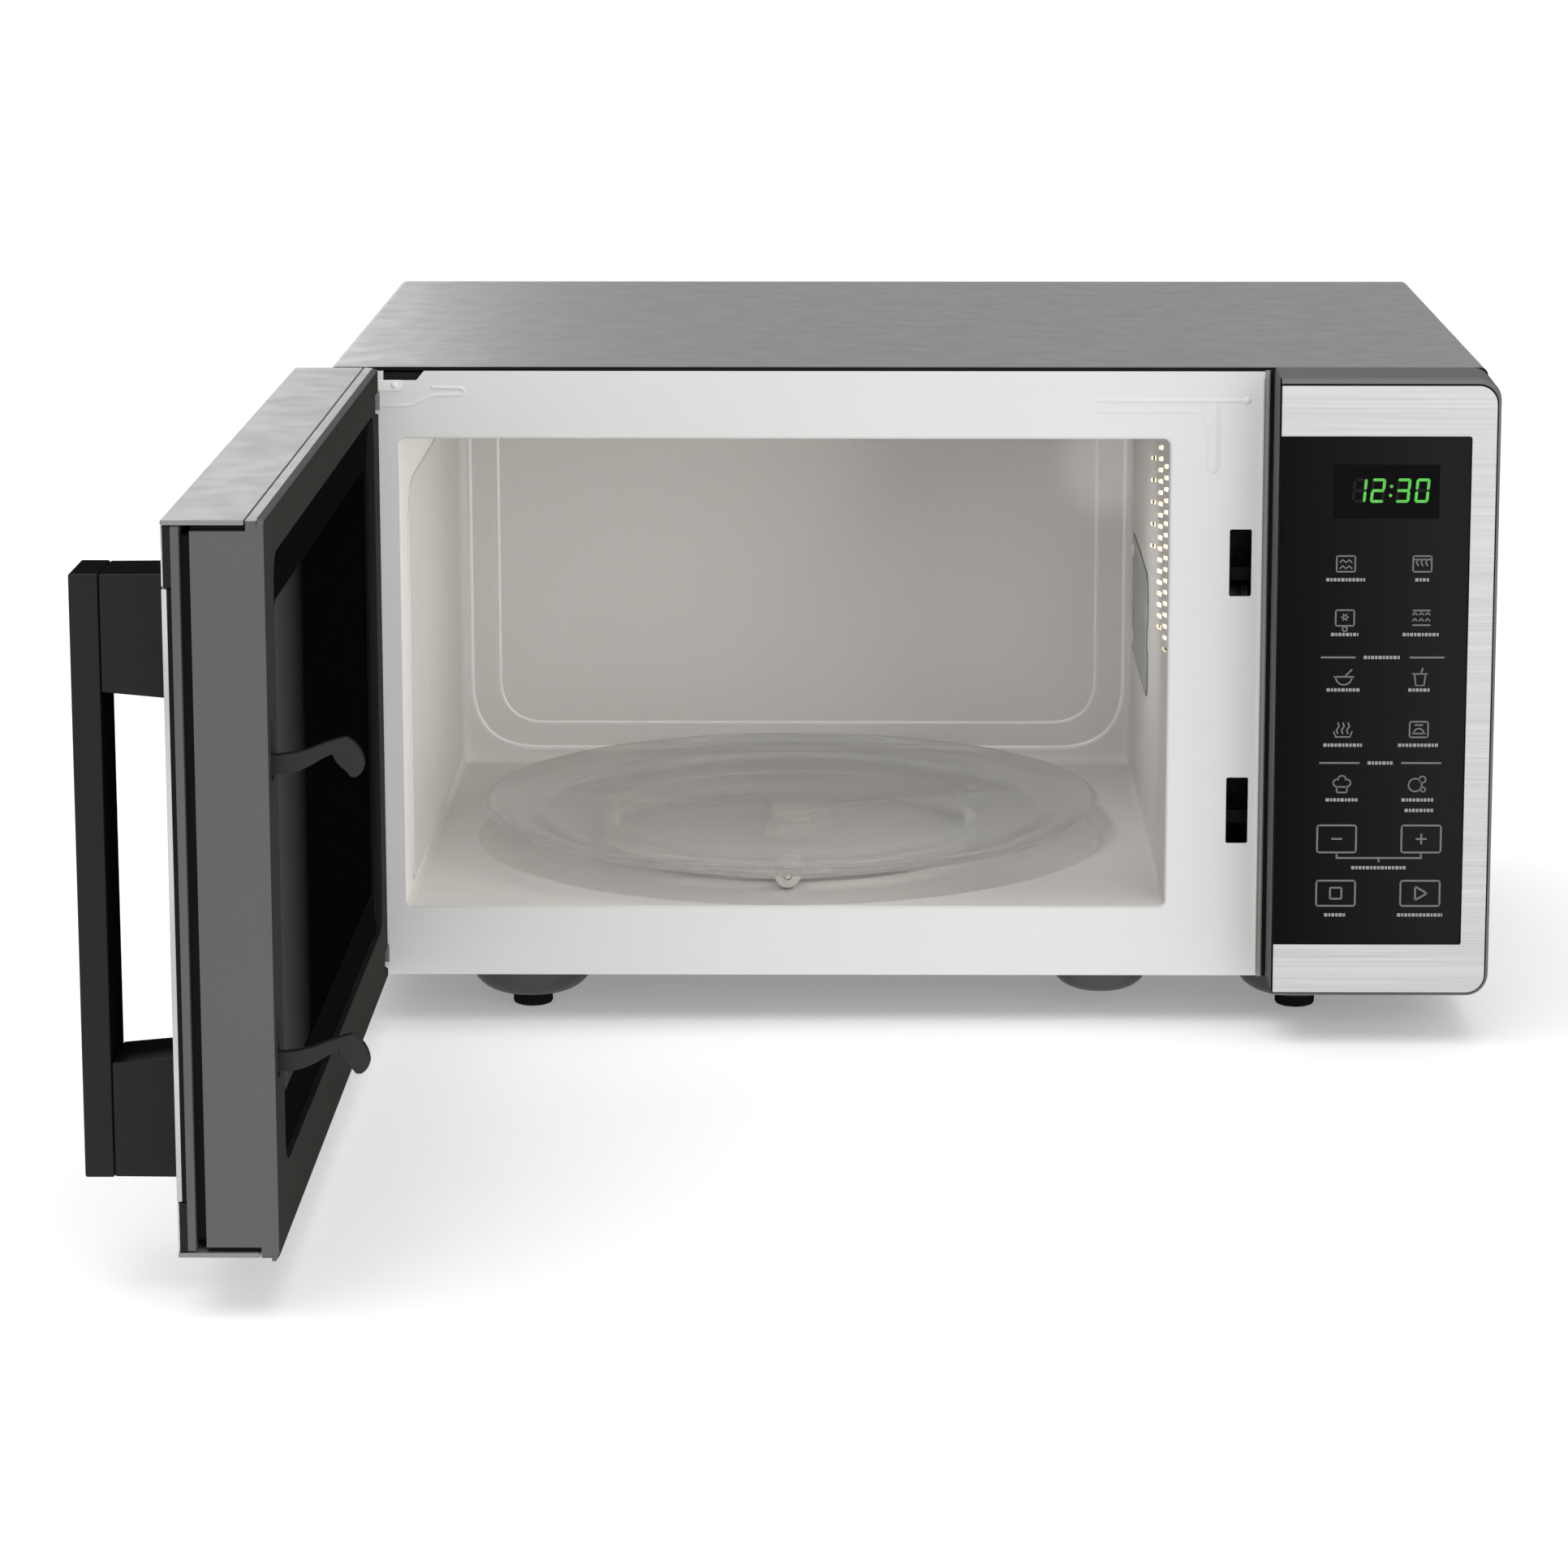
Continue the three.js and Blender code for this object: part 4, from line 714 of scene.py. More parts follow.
def build_front():
    low, high = node_box("front_frame")
    cavity = cavity_size()
    around = 0.8
    notch_left, notch_right, notch_low = -231.5, -213.5, high.z - 4.2
    outline = [(low.x, low.z), (high.x, low.z), (high.x, high.z), (notch_right, high.z),
               (notch_right - 3.5, notch_low), (notch_left, notch_low), (notch_left, high.z), (low.x, high.z)]
    mouth = rounded(cavity["left"] - around, cavity["right"] + around, cavity["low"] - around,
                    cavity["high"] + around, 3.4)
    slots = []
    for node in ("upper_latch_slot", "lower_latch_slot"):
        start, end = opening_box(node)
        slots.append(rounded(start.x - 0.5, end.x + 0.5, start.z - 0.5, end.z + 0.5, 0.8, 3))
    wiring = rounded(186, 236, 130, 194, 4)
    plate = prism([outline, mouth, *slots, wiring], low.y, high.y)
    front = (0, -1, 0)

    def line(points, bend, width, height):
        return rib([(x, low.y, z) for x, z in polyline(points, bend)], width, height, front)

    hook = [(-240, 280.7), (-219.5, 280.7), (-210, 285.4), (-197, 285.6), (-195.4, 287), (-197, 288.6),
            (-209.5, 288.8)]
    ledge_z = 283.2
    dot = moved(turned([(0, 0.9), (0.9, 0.75), (1.6, 0.3), (1.9, 0), (1.9, -0.2), (0, -0.2)], 32),
                offset(149.6, low.y, ledge_z) @ Matrix.Rotation(math.pi / 2, 4, "X"))
    lines = [
        line(hook, 3, 2.2, 0.45),
        line([(84, ledge_z), (110, ledge_z), (148, ledge_z)], 1, 2.6, 0.4),
        line([(84, 278.4), (110, 278.4), (130, 278.4), (132.2, 270), (132.2, 253)], 6, 1.6, 0.3),
        line([(135.4, ledge_z - 4), (135.4, 265), (135.4, 254)], 1, 6.4, 0.8),
        line([(-236, 30), (-120, 30), (40, 30), (140, 30)], 1, 5, 0.12),
        dot,
    ]
    # the lip that the panel's flange lies against
    lip_x = node_box("panel_housing")[0].x
    lip = [(lip_x - 0.2, low.y + 0.2), (lip_x - 0.2, low.y - 1.0), (lip_x + 0.2, low.y - 1.4),
           (lip_x + 0.7, low.y - 1.4), (lip_x + 0.9, low.y - 1.0), (lip_x + 0.9, low.y + 0.2)]
    lines.append(prism([lip], low.z + 1, high.z - 3, "XY"))
    piece("front_frame_sheet", merged(plate, *lines), WHITE, "cabinet", stands_for=["front_frame"],
          bevel=0.4)
    hinge_right = node_box("hinge_upper")[1].x
    build_hinge_lug(low.y, notch_low)
    # the folded flange behind the notch, in black plastic as painted shade
    bracket = block(notch_left - 12, notch_right + 4, high.y + 0.3, high.y + 8, notch_low - 8, high.z - 0.6)
    piece("hinge_bracket", bracket, BLACK_PLASTIC, "cabinet", bevel=0.5)


def opening_box(name):
    """The corners of one of the record's openings, in CABINET."""
    opening = next(o for o in frame["record"]["physics"]["openings"] if o["name"] == name)
    return [CABINET.inverted() @ Vector(corner) for corner in opening["box_m"]]


def build_base():
    low, high = node_box("base_plate")
    sheet = 1.2
    plate_low = high.z - sheet
    domes = []
    holes = []
    for node in FEET:
        foot_low, foot_high = node_box(node)
        x, y = (foot_low.x + foot_high.x) / 2, (foot_low.y + foot_high.y) / 2
        domes.append((x, y, 13, 15.5, foot_high.z + 0.3))
    domes.append((88, 25, 9, 13, 10.8))
    shells = []
    for x, y, flat, spread, bottom in domes:
        holes.append(circle(x, y, flat + spread - sheet, 64))
        drop = plate_low - bottom
        below, above = [], []
        steps = 10
        for i in range(steps + 1):
            angle = math.pi / 2 * i / steps
            below.append((flat + spread * math.sin(angle), bottom + drop * (1 - math.cos(angle))))
            up = drop * (1 - math.cos(angle))
            above.insert(0, (flat + (spread - sheet) * math.sin(angle), bottom + sheet + up))
        profile = [(0, bottom), *below, (flat + spread, high.z), *above, (0, bottom + sheet)]
        shells.append(moved(turned(profile, 64), offset(x, y, 0)))
    vents = [rounded(140 + 15 * i, 146 + 15 * i, 160, 240, 2.9) for i in range(7)]
    outline = rounded(low.x, high.x, low.y, high.y, 0.5, 2)
    hub_hole = circle(TABLE.x, TABLE.y, 30, 64)
    plate = prism([outline, *holes, hub_hole, *vents], plate_low, high.z, "XY")
    piece("base_sheet", merged(plate, *shells), BASE_GREY, "cabinet", stands_for=["base_plate"],
          bevel=0.3)


FEET = ["foot_front_left", "foot_front_right", "foot_rear_left", "foot_rear_right"]


def build_feet():
    for node in FEET:
        low, high = node_box(node)
        radius = (high.x - low.x) / 2
        x, y = (low.x + high.x) / 2, (low.y + high.y) / 2
        profile = [(0, 1.6), (3.2, 1.6), (3.6, 1.2), (4, 0.3), (4.6, 0), (radius - 1.4, 0),
                   (radius - 0.5, 0.4), (radius, 1.3), (radius, high.z - 1.2), (radius - 0.6, high.z - 0.4),
                   (radius - 0.6, high.z), (0, high.z)]
        pad = moved(turned(profile, 48), offset(x, y, low.z))
        piece(node.replace("foot", "foot_pad"), pad, RUBBER, "cabinet", stands_for=[node])


# ------------------------------------------------------------------------------------------------
# Cavity
# ------------------------------------------------------------------------------------------------
def cavity_size():
    return {
        "left": node_box("cavity_left_wall")[1].x,
        "right": node_box("cavity_right_wall")[0].x,
        "low": node_box("cavity_floor")[1].z,
        "high": node_box("cavity_ceiling")[0].z,
        "back": node_box("cavity_back_wall")[0].y,
    }


def fillet(y, back, radius):
    """How far a wall has come in at depth y, where it bends into the back wall."""
    over = max(0, y - (back - radius))
    return radius - math.sqrt(max(0, radius * radius - over * over))


def liner_shell(c):
    """The pressed cavity, open at the front, with a flared rim."""
    wall_bend, floor_bend, corner, sheet = 5, 5, 3, 1.0
    flare = [(0.05, 0.75), (0.2, 0.4), (0.5, 0.12), (1.2, 0.0)]
    depths = [c["back"] - wall_bend + wall_bend * math.sin(math.pi / 2 * i / 14) for i in range(15)]
    rings = []
    for y, out in flare + [(y, 0) for y in (20, 100, 200, *depths)]:
        side, floor = fillet(y, c["back"], wall_bend) - out, fillet(y, c["back"], floor_bend) - out
        outline = rounded(c["left"] + side, c["right"] - side, c["low"] + floor, c["high"] - floor, corner)
        rings.append([(x, y, z) for x, z in outline])
    outside = []
    for y, out in [(y, 0) for y in (1.5, 20, 100, 200, *depths)]:
        side = fillet(y, c["back"], wall_bend) - out - sheet
        floor = fillet(y, c["back"], floor_bend) - out - sheet
        outline = rounded(c["left"] + side, c["right"] - side, c["low"] + floor, c["high"] - floor, corner)
        outside.append([(x, y + (sheet if y >= depths[0] else 0), z) for x, z in outline])
    return loft(list(reversed(rings)) + outside)


SLOT_SLANT = 0.15
# front, back, pitch, top and count of the slots in each column
SLOT_COLUMNS = [(12, 42, 5.2, 252, 17), (52, 86, 5.2, 254.6, 17), (106, 146, 10.4, 252, 6)]


def perforations(c):
    """The lamp's slots in the right wall: two dense columns, and a sparse one behind them."""
    cutters = []
    for start, end, pitch, top, count in SLOT_COLUMNS:
        for row in range(count):
            z = top - pitch * row
            slot = rounded(start, end, z - 0.95, z + 0.95, 0.9, 4)
            slot = [(a, b - SLOT_SLANT * (a - start)) for a, b in slot]
            cutters.append(prism([slot], c["right"] - 3, c["right"] + 3, "YZ"))
    return cutters


def back_wall_lines(c):
    """The U-shaped band pressed into the back wall, seen as its two edges, given the lighter enamel as painted
    highlights.
    """
    lines = []
    inwards = (0, -1, 0)
    for inset, low, bend, width in ((5.2, 8, 34, 2.6), (19.4, 21, 24, 2.2)):
        left, right, bottom = c["left"] + inset, c["right"] - inset + 1.5, c["low"] + low
        points = [(left, c["high"] - 3), (left, c["high"] - 60), (left, bottom), (right, bottom),
                  (right, c["high"] - 60), (right, c["high"] - 3)]
        path = [(x, c["back"], z) for x, z in polyline(points, bend, 12)]
        # painted highlight: every face of the ridge gets the lighter enamel
        lines.append(paint(rib(path, width, 0.55, inwards), 1, inwards, least=-2))
    return lines


def left_wall_field(c):
    """The large raised field of the left wall."""
    outline = rounded(30, c["back"] - 6, c["low"] + 4, c["high"] - 25, [4, 4, 20, 26], 12)
    return prism([outline], c["left"] - 0.1, c["left"] + 0.7, "YZ")


def floor_pan(c):
    """The round well that the rollers run in."""
    well = node_box("cavity_floor")[0].z + 1.2
    radius = (node_box("glass_tray")[1].x - node_box("glass_tray")[0].x) / 2 + 2.5
    bore = 8
    track = 100
    top = [(radius + 1.4, c["low"]), (radius, c["low"] - 0.15), (radius - 1.4, c["low"] - 1.2),
           (radius - 2.6, well + 0.9), (radius - 4.2, well + 0.1), (radius - 6, well)]
    ripple = [(track + 9, well), (track + 7.5, well - 0.5), (track - 7.5, well - 0.5), (track - 9, well)]
    boss = [(34, well), (32, well + 0.9), (30, well + 1), (bore + 1, well + 1), (bore, well + 0.6)]
    under = [(bore, well - 1), (radius - 5, well - 1), (radius + 0.4, c["low"] - 1.6),
             (radius + 1.4, c["low"] - 1)]
    return moved(turned(top + ripple + boss + under, 128, closed=True), offset(TABLE.x, TABLE.y, 0))


PORT = (208, 277, 122, 171)  # where the microwaves enter: front, back, low and high


def mica_outline(low, high):
    """A sheet with one rounded upper corner, and a step in its front edge where it is hooked in."""
    corner, step, step_low, step_high = 13, 7, 140, 152
    front = [(low.y, low.z + 5), (low.y + 5, low.z), (high.y, low.z), (high.y, high.z)]
    front += arc(low.y + corner, high.z - corner, corner, 90, 180, 8)
    inner = low.y + step
    return front + [(low.y, step_high), (inner, step_high - 1), (inner, step_low + 1), (low.y, step_low)]


def build_liner():
    c = cavity_size()
    well_radius = (node_box("glass_tray")[1].x - node_box("glass_tray")[0].x) / 2 + 3.2
    cutters = perforations(c)
    cutters.append(prism([circle(TABLE.x, TABLE.y, well_radius, 128)], c["low"] - 3, c["low"] + 1.5, "XY"))
    for i in range(10):
        x = TABLE.x - 115 + 24 * i
        cutters.append(prism([rounded(x, x + 9, 105, 205, 4.4)], c["high"] - 3, c["high"] + 3, "XY"))
    mica_low, mica_high = node_box("mica_cover")
    cutters.append(prism([rounded(*PORT, 3, 4)], c["right"] - 3, c["right"] + 3, "YZ"))
    shell = carved(liner_shell(c), *cutters)
    # painted light: the left wall's border around the raised field gets the lighter enamel
    paint(shell, 1, (1, 0, 0), lambda at: at.x < c["left"] + 0.5)
    mesh = merged(shell, floor_pan(c), *back_wall_lines(c))
    piece("cavity_wall_field", left_wall_field(c), LINER, "cabinet", bevel=0.5)
    walls = ["cavity_floor", "cavity_ceiling", "cavity_left_wall", "cavity_right_wall", "cavity_back_wall"]
    piece("cavity_liner", mesh, [LINER, LINER_PAINTED_LIGHT], "cabinet", stands_for=walls,
          angle=30)

    sheet = prism([mica_outline(mica_low, mica_high)], mica_low.x, mica_high.x, "YZ")
    dots = []
    for y, z in ((mica_high.y - 7, mica_high.z - 7), (mica_high.y - 7, mica_low.z + 7)):
        head = turned([(0, 1.6), (2.6, 1.3), (3.6, 0.5), (3.8, 0), (0, 0)], 32)
        dots.append(moved(head, offset(mica_low.x, y, z) @ Matrix.Rotation(-math.pi / 2, 4, "Y")))
    piece("mica_sheet", sheet, MICA, "cabinet", stands_for=["mica_cover"], bevel=0.15)
    piece("mica_rivets", merged(*dots), PALE_PLASTIC, "cabinet")
    glow = prism([rounded(3, 152, 164, 258, 6)], c["right"] + 2.2, c["right"] + 2.8, "YZ")
    piece("lamp_diffuser", glow, LAMP_GLOW, "cabinet", bevel=0.2)
    shade_plate = prism([rounded(2, 154, 162, 260, 6)], c["right"] + 3.0, c["right"] + 3.8, "YZ")
    piece("lamp_shade", shade_plate, BLACK_PLASTIC, "cabinet", bevel=0.2)


# ------------------------------------------------------------------------------------------------
# Electrical compartment
# ------------------------------------------------------------------------------------------------
def build_compartment():
    finishes = {
        "waveguide": ZINC, "grill_reflector": ALUMINIUM,
        "grill_element_front": QUARTZ, "grill_element_rear": QUARTZ,
        "magnetron": ALUMINIUM, "transformer_core": IRON,
        "transformer_windings": COPPER, "hv_capacitor": ALUMINIUM,
        "hv_diode": BLACK_PLASTIC, "noise_filter": TAN_BOARD, "lamp_holder": CERAMIC, "lamp_bulb": CLEAR,
        "fan_shroud": PALE_PLASTIC, "fan_motor": IRON, "fan_blade": PALE_PLASTIC, "latch_board": BLACK_AND_PAINTED_SHADE,
        "primary_switch": BLACK_PLASTIC, "secondary_switch": BLACK_PLASTIC, "monitor_switch": BLACK_PLASTIC,
        "display_module": BLACK_PLASTIC, "control_board": GREEN_BOARD, "drive_coupler": PALE_PLASTIC,
        "turntable_motor": ZINC, "hinge_upper": ZINC, "hinge_lower": ZINC,
        "door_choke": ZINC, "door_mesh": ZINC,
    }
    for node, finish in finishes.items():
        dress(node, finish, 0.3)
    dress("latch_spring", ZINC, 0)
    magnetron_low, magnetron_high = node_box("magnetron")
    x = (magnetron_low.x + magnetron_high.x) / 2 + 10
    y = magnetron_low.y + 12
    can = turned([(0, 0), (9, 0), (9, 1.4), (7, 1.6), (7, 8), (6.4, 8.8), (0, 8.8)], 40)
    tabs = [block(a, a + 0.8, -3, 3, 8.6, 16) for a in (-3.4, 2.6)]
    place = offset(x, y, magnetron_high.z + 0.2)
    piece("thermal_cutout", moved(merged(can, *tabs), place), ZINC, "cabinet", bevel=0.15)


# ------------------------------------------------------------------------------------------------
# Control panel
# ------------------------------------------------------------------------------------------------
def build_panel():
    low, high = node_box("panel_housing")
    steel_low, steel_high = node_box("panel_bezel")
    glass_low, glass_high = node_box("panel_glass")
    left = glass_low.x
    lip_left = low.x
    # the moulding, bevelled towards its face
    rings = []
    bevel_steps = [(-0.3, 0, 9), (low.y + 9, 0, 10), (low.y + 4.5, 0, 10), (low.y + 1.6, 0.5, 9.6),
                   (low.y + 0.7, 1.1, 9), (low.y + 0.3, 1.6, 8.6)]
    for y, inset, radius in bevel_steps:
        outline = rounded(left, high.x - inset, low.z + inset * 0.9, high.z - inset * 1.15,
                          [1, radius, radius, 1], 10)
        rings.append([(x, y, z) for x, z in outline])
    body = loft(rings)
    pocket = block(left - 1, glass_high.x + 0.3, low.y - 1, glass_high.y + 0.3,
                   glass_low.z - 0.3, glass_high.z + 0.3)
    hollow = block(left + 2, high.x - 2, glass_high.y + 2.3, 1, low.z + 2, high.z - 2)
    body = carved(body, pocket, hollow)
    bead = [(lip_left + 1.2, -0.3), (left - 0.2, -0.3), (left - 0.2, -0.6), (left - 2.1, -0.6),
            (left - 2.3, -0.9), (left - 2.7, -1.2), (left - 3.3, -1.2), (left - 3.8, -1.0),
            (lip_left + 1.2, -0.7)]
    flange = prism([bead], low.z, high.z - 1.2, "XY")
    # painted shadow: the flange's step beside the moulding is made black
    paint(flange, 1, (0, -1, 0), lambda at: at.x > left - 2.1)
    piece("panel_flange", flange, [FLANGE_PAINTED_REFLECTION, BLACK_AND_PAINTED_SHADE], "cabinet")
    # painted shade: the moulding's left side next to the flange is made black
    paint(body, 1, (-1, 0, 0), lambda at: at.x < left + 0.5 and at.y < low.y + 9)
    piece("panel_moulding", body, [MOULDING, BLACK_AND_PAINTED_SHADE], "cabinet", stands_for=["panel_housing"],
          bevel=0.35)
    # painted shadow: a black plate shows as a dark line around the steel
    gap_front = low.y + 0.25
    around = 0.75
    shadow = rounded(left - 0.05, steel_high.x + around, steel_low.z - around, steel_high.z + around,
                     [0.5, 8.7, 8.7, 0.5], 12)
    window = rounded(left + 1, glass_high.x + 0.2, glass_low.z - 0.2, glass_high.z + 0.2, 0.5, 3)
    piece("panel_shadow_gap", prism([shadow, window], gap_front, gap_front + 0.5), BLACK_AND_PAINTED_SHADE, "cabinet")

    s, corner = steel_high, 8
    outline = [(left, steel_low.z), (s.x - corner, steel_low.z)]
    outline += arc(s.x - corner, steel_low.z + corner, corner, -90, 0)
    outline += arc(s.x - corner, s.z - corner, corner, 0, 90)
    inner = glass_high.x + 0.3
    outline += [(left, s.z), (left, glass_high.z + 0.3)]
    outline += arc(inner - 1, glass_high.z - 0.7, 1, 90, 0, 4)
    outline += arc(inner - 1, glass_low.z + 0.7, 1, 0, -90, 4)
    outline += [(left, glass_low.z - 0.3)]
    piece("panel_steel", prism([outline], steel_low.y, steel_high.y), STEEL, "cabinet",
          stands_for=["panel_bezel"], bevel=0.45, segments=3)
    pane = prism([rounded(left, glass_high.x, glass_low.z, glass_high.z, [0.3, 0.8, 0.8, 0.3], 4)],
                 glass_low.y + 0.5, glass_high.y)
    piece("panel_pane", pane, PANEL_PANE, "cabinet", stands_for=["panel_glass"],
          bevel=0.3)
    build_display(glass_low.y + 0.5)
    build_print(glass_low.y + 0.5)


SEGMENTS = {"0": "abcdef", "1": "bc", "2": "abged", "3": "abgcd", "8": "abcdefg"}


def digit_segments(x, z, width, height, lit):
    """The flat outlines of a seven-segment digit's bars, leaning a little to the right."""
    half, bar, gap, lean = height / 2, 1.25, 0.22, 0.09

    def slanted(points):
        return [(x + a + lean * b, z + b) for a, b in points]

    outlines = []
    level = {"a": height, "g": half, "d": 0}
    upright = {"b": (width, half, height), "c": (width, 0, half), "e": (0, 0, half), "f": (0, half, height)}
    for name in lit:
        if name in level:
            b = min(max(level[name], bar / 2), height - bar / 2)
            ends = (gap + bar / 2, width - gap - bar / 2)
            outlines.append(slanted([(ends[0], b - bar / 2), (ends[1], b - bar / 2), (ends[1] + bar / 2, b),
                                     (ends[1], b + bar / 2), (ends[0], b + bar / 2), (ends[0] - bar / 2, b)]))
        else:
            a, start, end = upright[name]
            a = min(max(a, bar / 2), width - bar / 2)
            start, end = start + gap + bar / 2, end - gap - bar / 2
            outlines.append(slanted([(a - bar / 2, start), (a, start - bar / 2), (a + bar / 2, start),
                                     (a + bar / 2, end), (a, end + bar / 2), (a - bar / 2, end)]))
    return outlines


def flat_prints(outlines, y, thick=0.06):
    return merged(*[prism([outline], y - thick, y + 0.02) for outline in outlines])


def build_display(y):
    """The lit time, over the faint bars of every segment."""
    low, high = node_box("display_module")
    window = flat_prints([rounded(low.x + 2, high.x - 1, low.z + 3, high.z - 3, 0.6, 3)], y, 0.03)
    piece("display_window", window, UNLIT, "cabinet")
    base, height, width = 243.8, 10.7, 6.1
    places = [192.6, 200.6, 211.6, 219.9]
    lit, faint = [], []
    for x, digit in zip(places, "1230"):
        lit += digit_segments(x, base, width, height, SEGMENTS[digit])
        unlit = [bar for bar in SEGMENTS["8"] if bar not in SEGMENTS[digit]]
        faint += digit_segments(x, base, width, height, unlit)
    for z in (base + 3.2, base + 7.2):
        lit.append(circle(209.3 + 0.09 * (z - base), z, 0.72, 20))
    piece("display_digits", flat_prints(lit, y, 0.1), DIGIT, "cabinet")
    piece("display_unlit_bars", flat_prints(faint, y, 0.05), FAINT, "cabinet")


def stroke(points, width=0.6):
    """A thin printed line through points, as a flat outline."""
    line = [Vector(p) for p in points]
    left, right = [], []
    for i, at in enumerate(line):
        along = (line[min(i + 1, len(line) - 1)] - line[max(i - 1, 0)]).normalized()
        side = Vector((-along.y, along.x)) * width / 2
        left.append(tuple(at + side))
        right.append(tuple(at - side))
    return left + right[::-1]


def frame_strokes(left, right, low, high, radius=0.8, width=0.6):
    """A printed rectangle, as four lines and four round corners."""
    points = rounded(left, right, low, high, radius, 4)
    loop = points + [points[0]]
    return [stroke([a, b], width) for a, b in zip(loop, loop[1:])]


def ring_strokes(x, z, radius, start=0, end=360, steps=14):
    points = arc(x, z, radius, start, end, steps)
    return [stroke([a, b]) for a, b in zip(points, points[1:])]


ICON_SIZE = 1.12


def placed(outlines, x, z, size):
    """Outlines drawn about the origin, at a place and at a size."""
    return [[(x + a * size, z + b * size) for a, b in outline] for outline in outlines]


def icon_box():
    return frame_strokes(-3.6, 3.6, -2.9, 3.3, 0.6)


def icon_waves():
    lines = []
    for b in (-1.7, 0.7):
        lines.append(stroke([(-2.4, b), (-1.2, b + 1.1), (0, b), (1.2, b + 1.1), (2.4, b)]))
    return icon_box() + lines


def icon_grill():
    lines = [stroke([(-3.2, 1.9), (3.2, 1.9)])]
    lines += [stroke([(a, 1.9), (a - 0.5, 0.6), (a + 0.3, -0.6)]) for a in (-1.8, 0, 1.8)]
    return icon_box() + lines


def icon_frost():
    star = []
    for t in (0, math.pi / 3, 2 * math.pi / 3):
        across, up = 1.5 * math.cos(t), 1.5 * math.sin(t)
        star.append(stroke([(-across, 0.5 - up), (across, 0.5 + up)]))
    return icon_box() + star + ring_strokes(0, -4.2, 0.9)


def icon_combi():
    zigzag = []
    for a in (-3.4, -0.9, 1.6):
        zigzag += [stroke([(a, b), (a + 0.9, b + 1), (a + 1.8, b)]) for b in (1.4, -1)]
    return zigzag + [stroke([(-3.4, b), (3.6, b)]) for b in (3.2, -2.6)]


def icon_bowl():
    bowl = ring_strokes(0, 0.4, 3.2, 180, 360, 12)
    return bowl + [stroke([(-4, 0.4), (4, 0.4)]), stroke([(0.6, 0.8), (3.2, 3.4)])]


def icon_cup():
    cup = stroke([(-2.2, 1.6), (-1.6, -3), (1.6, -3), (2.2, 1.6)])
    return [cup, stroke([(-3, 1.6), (3, 1.6)]), stroke([(0.2, 1.6), (1.2, 4)])]


def icon_warm():
    steam = [stroke([(a, -1.6), (a - 0.5, 0), (a + 0.5, 1.4), (a, 3)]) for a in (-2, 0, 2)]
    return [stroke([(-3.6, -0.6), (-2.8, -2.8), (2.8, -2.8), (3.6, -0.6)])] + steam


def icon_dough():
    loaf = ring_strokes(0, -1.4, 2, 0, 180, 8)
    return icon_box() + loaf + [stroke([(-2.6, -1.4), (2.6, -1.4)]), stroke([(-1.6, 2), (1.6, 2)])]


def icon_hat():
    sides = ring_strokes(-1.9, 0.8, 1.5, 60, 290, 9) + ring_strokes(1.9, 0.8, 1.5, -110, 120, 9)
    return sides + ring_strokes(0, 2, 1.7, 10, 170, 7) + frame_strokes(-2, 2, -3, -0.8, 0.3)


def icon_bubbles():
    return ring_strokes(-1, 0, 2.6) + ring_strokes(1.8, 2.2, 1.3) + ring_strokes(2.2, -1.8, 0.9)


def label(x, z, length, height=2.7):
    """A row of short dashes in the place of a word."""
    dashes = []
    at = x - length / 2
    widths = (1.5, 0.9, 1.3, 1.1)
    i = 0
    while at < x + length / 2 - 0.5:
        wide = min(widths[i % len(widths)], x + length / 2 - at)
        dashes.append(rounded(at, at + wide, z - height / 2 * 0.55, z + height / 2 * 0.55, 0.2, 2))
        at += wide + 0.42
        i += 1
    return dashes


